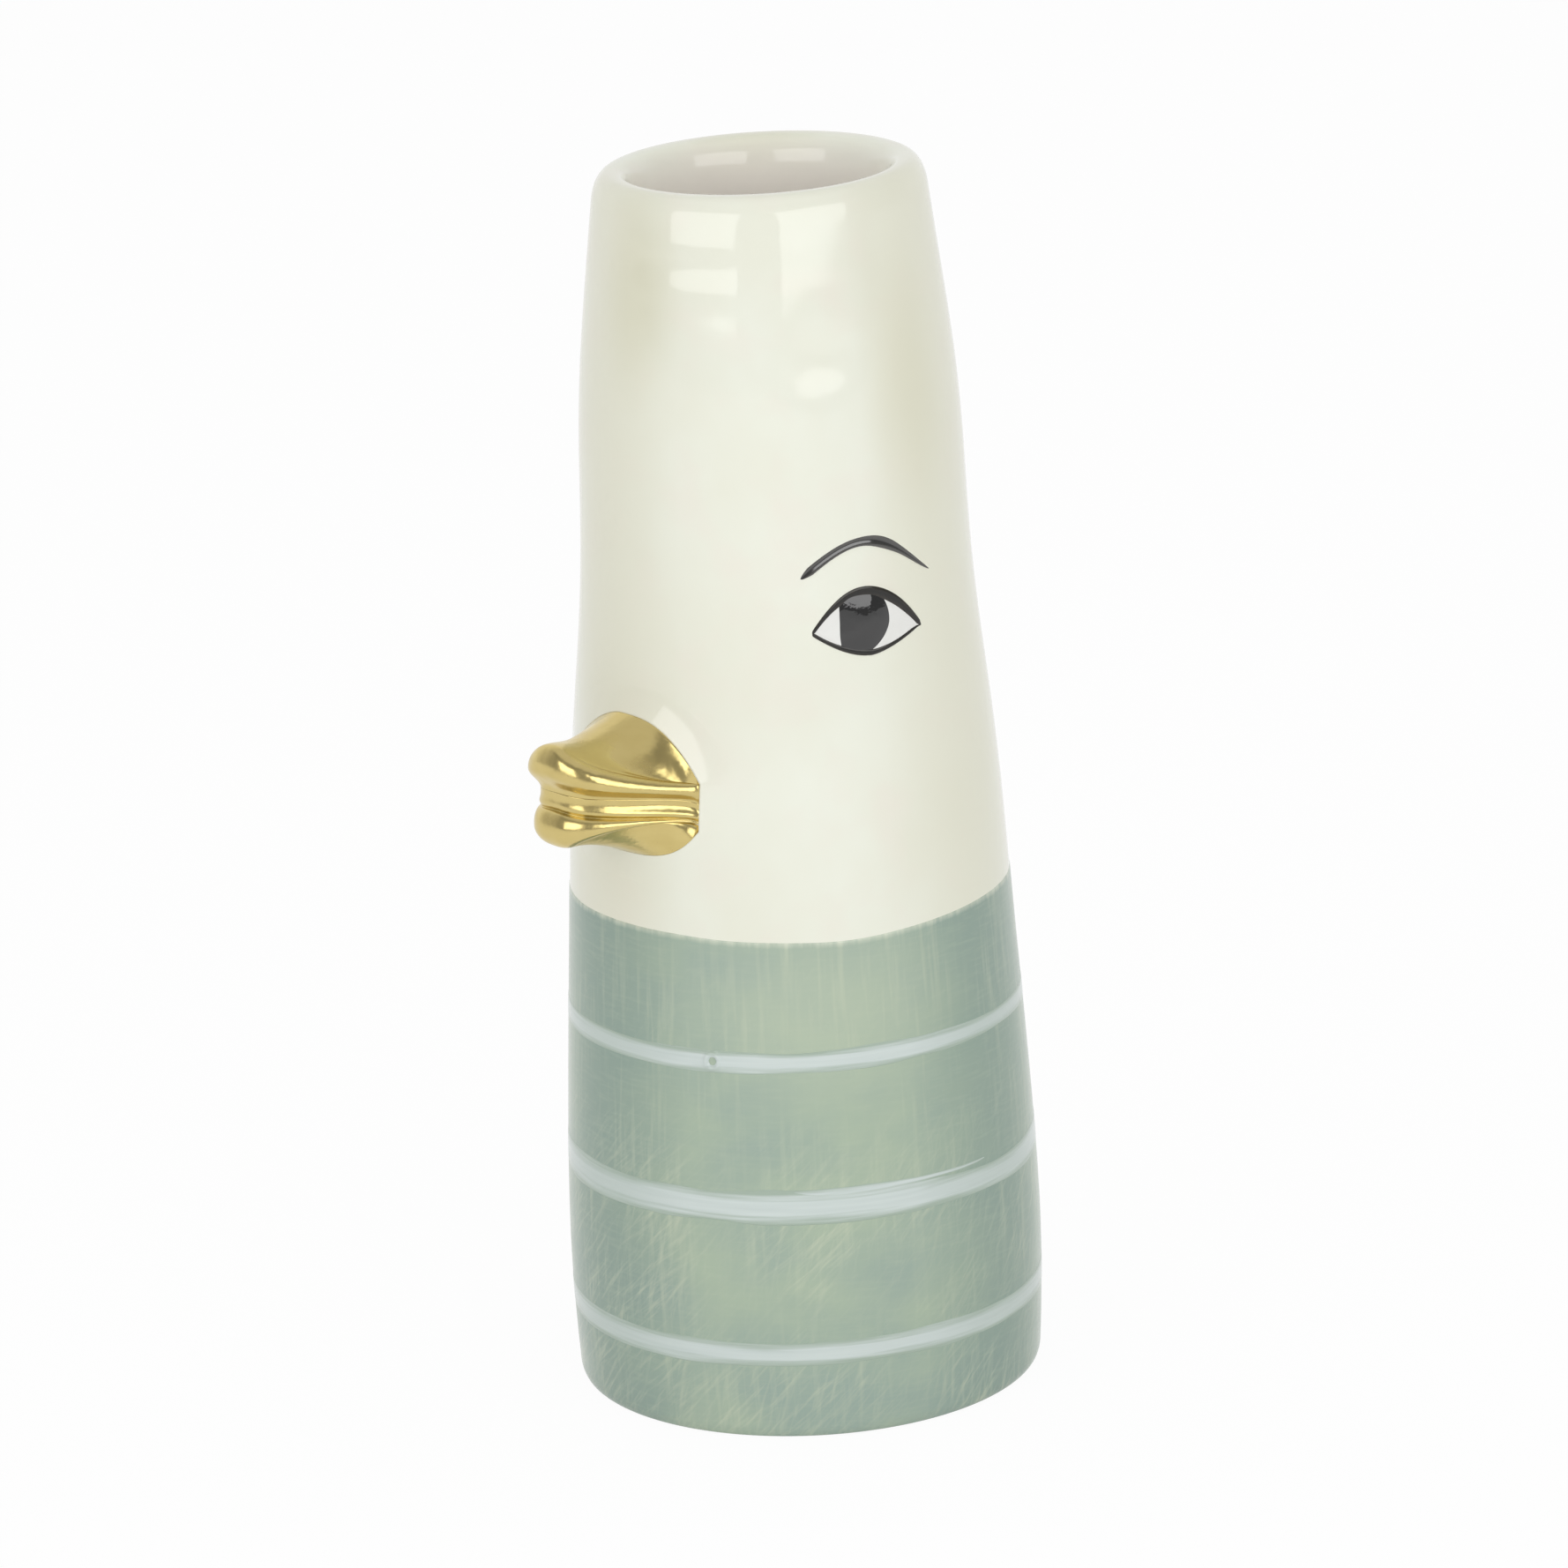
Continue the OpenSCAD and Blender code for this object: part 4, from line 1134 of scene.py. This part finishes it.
# %% Pale slip
SLIP_SIDE_SHADE = 0.35
tree, shader = new_material("pale_blue_slip", [*stripes, stray_stroke], 0.18)
where = add_node(tree, "ShaderNodeTexCoord").outputs["Object"]
bristle_at = add_node(tree, "ShaderNodeMapping", {"Vector": where, "Scale": per_metre(16, 16, 0.5)})
bristle = add_node(tree, "ShaderNodeTexNoise",
                   {"Vector": bristle_at.outputs[0], "Scale": 1.0, "Detail": 3.0})
edge = add_node(tree, "ShaderNodeAttribute", attribute_name="edge").outputs["Fac"]
ragged = add_node(tree, "ShaderNodeMath", {0: edge, 1: bristle.outputs["Fac"]}, operation="ADD")
feather = add_node(tree, "ShaderNodeMapRange",
                   {"Value": ragged.outputs[0], "From Min": 0.9, "From Max": 1.45, "To Max": 0.95})
# Painted shade: the slip turns darker and greener in the same upright bands.
side_shade_share = add_node(tree, "ShaderNodeMath", {0: painted_side_shade(tree, where), 1: SLIP_SIDE_SHADE},
                      operation="MULTIPLY")
paint(tree, shader, "#d2dbd8", (bristle.outputs["Fac"], "#bfcac7"), (feather.outputs[0], "#9fafa0"),
      (side_shade_share.outputs[0], "#a3b3a8"))

# %% [markdown]
# ### Gold lustre
# A film of real gold fired onto the glaze of the bill, so it is a metal to the eye. It is
# brushed on, which leaves it satin in broad patches and mirror-like where the brush laid it
# thick. A tenth of a millimetre of unevenness in the clay below bends its reflections.

# %% Gold lustre
tree, shader = new_material("gold_lustre", [bill_upper, bill_lower], 0.2, metallic=1.0)
where = add_node(tree, "ShaderNodeTexCoord").outputs["Object"]
brushed_at = add_node(tree, "ShaderNodeMapping", {"Vector": where, "Scale": per_metre(4, 4, 2.2)})
brushed = add_node(tree, "ShaderNodeTexNoise",
                   {"Vector": brushed_at.outputs[0], "Scale": 1.0, "Detail": 4.0})
paint(tree, shader, "#d9c687", (brushed.outputs["Fac"], "#cdb877"))
satin = add_node(tree, "ShaderNodeMapRange", {"Value": brushed.outputs["Fac"], "From Min": 0.35,
                                              "From Max": 0.7, "To Min": 0.16, "To Max": 0.28})
tree.links.new(satin.outputs[0], shader.inputs["Roughness"])
clay_at = add_node(tree, "ShaderNodeMapping", {"Vector": where, "Scale": per_metre(2.6, 2.6, 2.6)})
clay_noise = add_node(tree, "ShaderNodeTexNoise",
                      {"Vector": clay_at.outputs[0], "Scale": 1.0, "Detail": 2.0})
clay_bump = add_node(tree, "ShaderNodeBump",
                     {"Height": clay_noise.outputs["Fac"], "Strength": 1.0, "Distance": 0.1 * MM})
tree.links.new(clay_bump.outputs[0], shader.inputs["Normal"])

# %% [markdown]
# ### White enamel
# The eye is painted in glossy overglaze enamel. The white is nearly even, and a little greyer
# where it is thin.

# %% White enamel
tree, shader = new_material("white_enamel", whites, 0.12)
where = add_node(tree, "ShaderNodeTexCoord").outputs["Object"]
thin_at = add_node(tree, "ShaderNodeMapping", {"Vector": where, "Scale": per_metre(2.5, 2.5, 2.5)})
thin = add_node(tree, "ShaderNodeTexNoise", {"Vector": thin_at.outputs[0], "Scale": 1.0, "Detail": 2.0})
paint(tree, shader, "#e7e7e3", (thin.outputs["Fac"], "#dfdfdb"))

# %% [markdown]
# ### Charcoal enamel
# The enamel of the iris is rich in lead and so more mirror-like than glaze. It is black in the
# upper part of the iris, in the shade of the lid, and the brush left low ridges that break up
# its reflections.

# %% Charcoal enamel
SHADE_LOW = EYE_Z + 2.4 * MM
SHADE_HIGH = EYE_Z + 3.6 * MM
SHADE_WAVER = 3 * MM
tree, shader = new_material("charcoal_enamel", irises, 0.06, ior=1.75)
where = add_node(tree, "ShaderNodeTexCoord").outputs["Object"]
depth_at = add_node(tree, "ShaderNodeMapping", {"Vector": where, "Scale": per_metre(1.8, 1.8, 1.8)})
depth = add_node(tree, "ShaderNodeTexNoise",
                 {"Vector": depth_at.outputs[0], "Scale": 1.0, "Detail": 3.0})
height = add_node(tree, "ShaderNodeSeparateXYZ", {0: where}).outputs["Z"]
uneven = add_node(tree, "ShaderNodeMath", {0: depth.outputs["Fac"], 1: SHADE_WAVER, 2: height},
                  operation="MULTIPLY_ADD")
shaded = add_node(tree, "ShaderNodeMapRange",
                  {"Value": uneven.outputs[0], "From Min": SHADE_LOW, "From Max": SHADE_HIGH})
paint(tree, shader, "#151414", (depth.outputs["Fac"], "#222121"), (shaded.outputs[0], "#0d0d0d"))
ridges = add_node(tree, "ShaderNodeBump",
                  {"Height": depth.outputs["Fac"], "Strength": 1.0, "Distance": 0.05 * MM})
tree.links.new(ridges.outputs[0], shader.inputs["Normal"])

# %% [markdown]
# ### Black line enamels
# The black lines are thin at their edges, so they turn a little brown there. The brow is thicker
# than the lids, rich in lead like the iris, and fired to a higher gloss.

# %% Black line enamels
LINES = (("black_lid_enamel", [*upper_lids, *lower_lids], 0.15, 1.5),
         ("black_brow_enamel", brows, 0.08, 1.95))
for line_name, line_pieces, line_roughness, line_ior in LINES:
    tree, shader = new_material(line_name, line_pieces, line_roughness, ior=line_ior)
    where = add_node(tree, "ShaderNodeTexCoord").outputs["Object"]
    depth_at = add_node(tree, "ShaderNodeMapping", {"Vector": where, "Scale": per_metre(1.2, 1.2, 1.2)})
    depth = add_node(tree, "ShaderNodeTexNoise",
                     {"Vector": depth_at.outputs[0], "Scale": 1.0, "Detail": 3.0})
    edge = add_node(tree, "ShaderNodeAttribute", attribute_name="edge").outputs["Fac"]
    thinness = add_node(tree, "ShaderNodeMath", {0: edge, 1: depth.outputs["Fac"]}, operation="MULTIPLY")
    paint(tree, shader, "#161513", (thinness.outputs[0], "#3e392f"))

# %% [markdown]
# ### Biscuit clay
# Under the foot the clay is bare: matt, warm and slightly gritty. That is the one solid whose
# own shape is right as it is, so it keeps its mesh and only gets this finish. Real grit would be
# too fine to show, so it is drawn with grains of 0.7 mm.

# %% Biscuit clay
tree, shader = new_material("biscuit_clay", [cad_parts["clay_body"]], 0.85)
where = add_node(tree, "ShaderNodeTexCoord").outputs["Object"]
grit_at = add_node(tree, "ShaderNodeMapping", {"Vector": where, "Scale": per_metre(0.7, 0.7, 0.7)})
grit = add_node(tree, "ShaderNodeTexNoise", {"Vector": grit_at.outputs[0], "Scale": 1.0, "Detail": 4.0})
paint(tree, shader, "#ddd0ba", (grit.outputs["Fac"], "#c9b89d"))
grit_bump = add_node(tree, "ShaderNodeBump",
                     {"Height": grit.outputs["Fac"], "Strength": 0.6, "Distance": 0.1 * MM})
tree.links.new(grit_bump.outputs[0], shader.inputs["Normal"])

# %% [markdown]
# ## The studio
# The vase stands on white paper in front of a white wall, with a soft box on each side of the
# camera. Paper and wall are white to the eye, and the paper keeps a faint shadow: for rays
# from the camera and for reflections, most of its colour is its own light, and the rest is
# ordinary paper that the vase shades.

# %% Lay the paper
FLOOR_HALF = 3.0
PAPER_GLOW = 0.95
PAPER_MIRRORED = 0.85
paper_mesh = bpy.data.meshes.new("paper_floor")
paper_mesh.from_pydata([(-FLOOR_HALF, -FLOOR_HALF, 0), (FLOOR_HALF, -FLOOR_HALF, 0),
                        (FLOOR_HALF, FLOOR_HALF, 0), (-FLOOR_HALF, FLOOR_HALF, 0)], [], [(0, 1, 2, 3)])
paper = bpy.data.objects.new("paper_floor", paper_mesh)
bpy.context.scene.collection.objects.link(paper)


def seen(tree, rays):
    """1 for rays from the camera or through glass and 0 for others: the larger of two flags."""
    return add_node(tree, "ShaderNodeMath", {0: rays["Is Camera Ray"], 1: rays["Is Transmission Ray"]},
                    operation="MAXIMUM").outputs[0]


tree, shader = new_material("white_paper", [paper], 0.9)
shader.inputs["Base Color"].default_value = colour("#f2f2f2")
shader.inputs["Specular IOR Level"].default_value = 0.0
rays = add_node(tree, "ShaderNodeLightPath").outputs
reflected = add_node(tree, "ShaderNodeMath", {0: rays["Is Glossy Ray"], 1: PAPER_MIRRORED},
                     operation="MULTIPLY")
shining = add_node(tree, "ShaderNodeMath", {0: seen(tree, rays), 1: reflected.outputs[0]},
                   operation="MAXIMUM")
glow_share = add_node(tree, "ShaderNodeMath", {0: shining.outputs[0], 1: PAPER_GLOW},
                      operation="MULTIPLY")
glow = add_node(tree, "ShaderNodeEmission", {"Color": (1, 1, 1, 1), "Strength": 1.0})
paper_mix = add_node(tree, "ShaderNodeMixShader",
                     {0: glow_share.outputs[0], 1: shader.outputs[0], 2: glow.outputs[0]})
tree.links.new(paper_mix.outputs[0], tree.nodes["Material Output"].inputs["Surface"])

# %% [markdown]
# The wall behind is white and the room behind the camera is dim. The ceiling is pale, and a dark
# gap lies between it and the top of the soft boxes: it is what draws the dark band on the root
# of the bill. The world's brightness is a function of the direction: a dot product with the way
# to the camera tells the front of the room from the back, and the z part tells how high it is.
# Reflections see brighter walls than those that light the vase, as they do in a studio where
# every wall is pale but most of the light comes from the lamps.

# %% Light the room
ROOM_FRONT, ROOM_BACK, ROOM_TOP = 0.27, 0.64, 0.85
MIRROR_FRONT, MIRROR_BACK, MIRROR_GAP, MIRROR_CEILING = 0.36, 1.0, 0.33, 0.75
world = bpy.data.worlds.new("studio_room")
bpy.context.scene.world = world
world.use_nodes = True
tree = world.node_tree
tree.nodes.clear()
direction = add_node(tree, "ShaderNodeTexCoord").outputs["Generated"]
upness = add_node(tree, "ShaderNodeSeparateXYZ", {0: direction}).outputs["Z"]
frontness = add_node(tree, "ShaderNodeVectorMath",
                     {0: direction, 1: (np.sin(CAMERA_TURN), -np.cos(CAMERA_TURN), 0.0)},
                     operation="DOT_PRODUCT").outputs["Value"]
lighting = add_node(tree, "ShaderNodeMapRange", {"Value": frontness, "From Min": -0.6, "From Max": 0.7,
                                                 "To Min": ROOM_BACK, "To Max": ROOM_FRONT})
from_above = add_node(tree, "ShaderNodeMapRange", {"Value": upness, "From Min": 0.4, "From Max": 0.75})
lit = add_node(tree, "ShaderNodeMix", {0: from_above.outputs[0], 2: lighting.outputs[0], 3: ROOM_TOP})
walls = add_node(tree, "ShaderNodeMapRange", {"Value": frontness, "From Min": -0.6, "From Max": 0.1,
                                              "To Min": MIRROR_BACK, "To Max": MIRROR_FRONT})
in_front = add_node(tree, "ShaderNodeMapRange", {"Value": frontness, "From Min": -0.35, "From Max": 0.0})
high = add_node(tree, "ShaderNodeMapRange", {"Value": upness, "From Min": 0.56, "From Max": 0.66})
gap = add_node(tree, "ShaderNodeMath", {0: high.outputs[0], 1: in_front.outputs[0]},
               operation="MULTIPLY")
gapped = add_node(tree, "ShaderNodeMix", {0: gap.outputs[0], 2: walls.outputs[0], 3: MIRROR_GAP})
overhead = add_node(tree, "ShaderNodeMapRange", {"Value": upness, "From Min": 0.72, "From Max": 0.82})
mirrored = add_node(tree, "ShaderNodeMix",
                    {0: overhead.outputs[0], 2: gapped.outputs[0], 3: MIRROR_CEILING})
rays = add_node(tree, "ShaderNodeLightPath").outputs
unseen = add_node(tree, "ShaderNodeMix",
                  {0: rays["Is Glossy Ray"], 2: lit.outputs[0], 3: mirrored.outputs[0]})
level = add_node(tree, "ShaderNodeMix", {0: seen(tree, rays), 2: unseen.outputs[0], 3: 1.0})
room = add_node(tree, "ShaderNodeBackground", {"Color": (1, 1, 1, 1), "Strength": level.outputs[0]})
add_node(tree, "ShaderNodeOutputWorld", {"Surface": room.outputs[0]})
print("nodes in the world:", len(tree.nodes))

# %% [markdown]
# The two soft boxes show as the bright patches on the neck, inside the mouth and on the bill.
# Their angles were worked out from where those patches are: a mirror sends the line from the
# camera to a patch on to the box that made it.

# %% Hang the soft boxes
BOX_DISTANCE = 1.0
SOFT_BOXES = {"soft_box_left": (-40, 17, 46, 27, 2.25), "soft_box_right": (35.5, 16.6, 48, 27.8, 2.3)}
HEAD = Vector((0, 0, 120 * MM))
for box_name, (aside, box_rise, wide, tall, box_glow) in SOFT_BOXES.items():
    box_turn = CAMERA_TURN + np.radians(aside)
    rise = np.radians(box_rise)
    way = Vector((np.sin(box_turn) * np.cos(rise), -np.cos(box_turn) * np.cos(rise), np.sin(rise)))
    lamp = bpy.data.lights.new(box_name, "AREA")
    lamp.shape = "RECTANGLE"
    lamp.size = 2 * BOX_DISTANCE * np.tan(np.radians(wide / 2))
    lamp.size_y = 2 * BOX_DISTANCE * np.tan(np.radians(tall / 2))
    lamp.energy = box_glow * np.pi * lamp.size * lamp.size_y
    soft_box = bpy.data.objects.new(box_name, lamp)
    soft_box.location = HEAD + way * BOX_DISTANCE
    soft_box.rotation_mode = "QUATERNION"
    soft_box.rotation_quaternion = way.to_track_quat("Z", "Y")
    bpy.context.scene.collection.objects.link(soft_box)
    print(box_name, "watts:", round(lamp.energy, 2))

# %% [markdown]
# ## Close
# The picture keeps colours as they were written, without a film look. The looks may not make
# it bigger.

# %% Keep the colours as written
bpy.context.scene.view_settings.view_transform = "Standard"
bpy.context.view_layer.update()
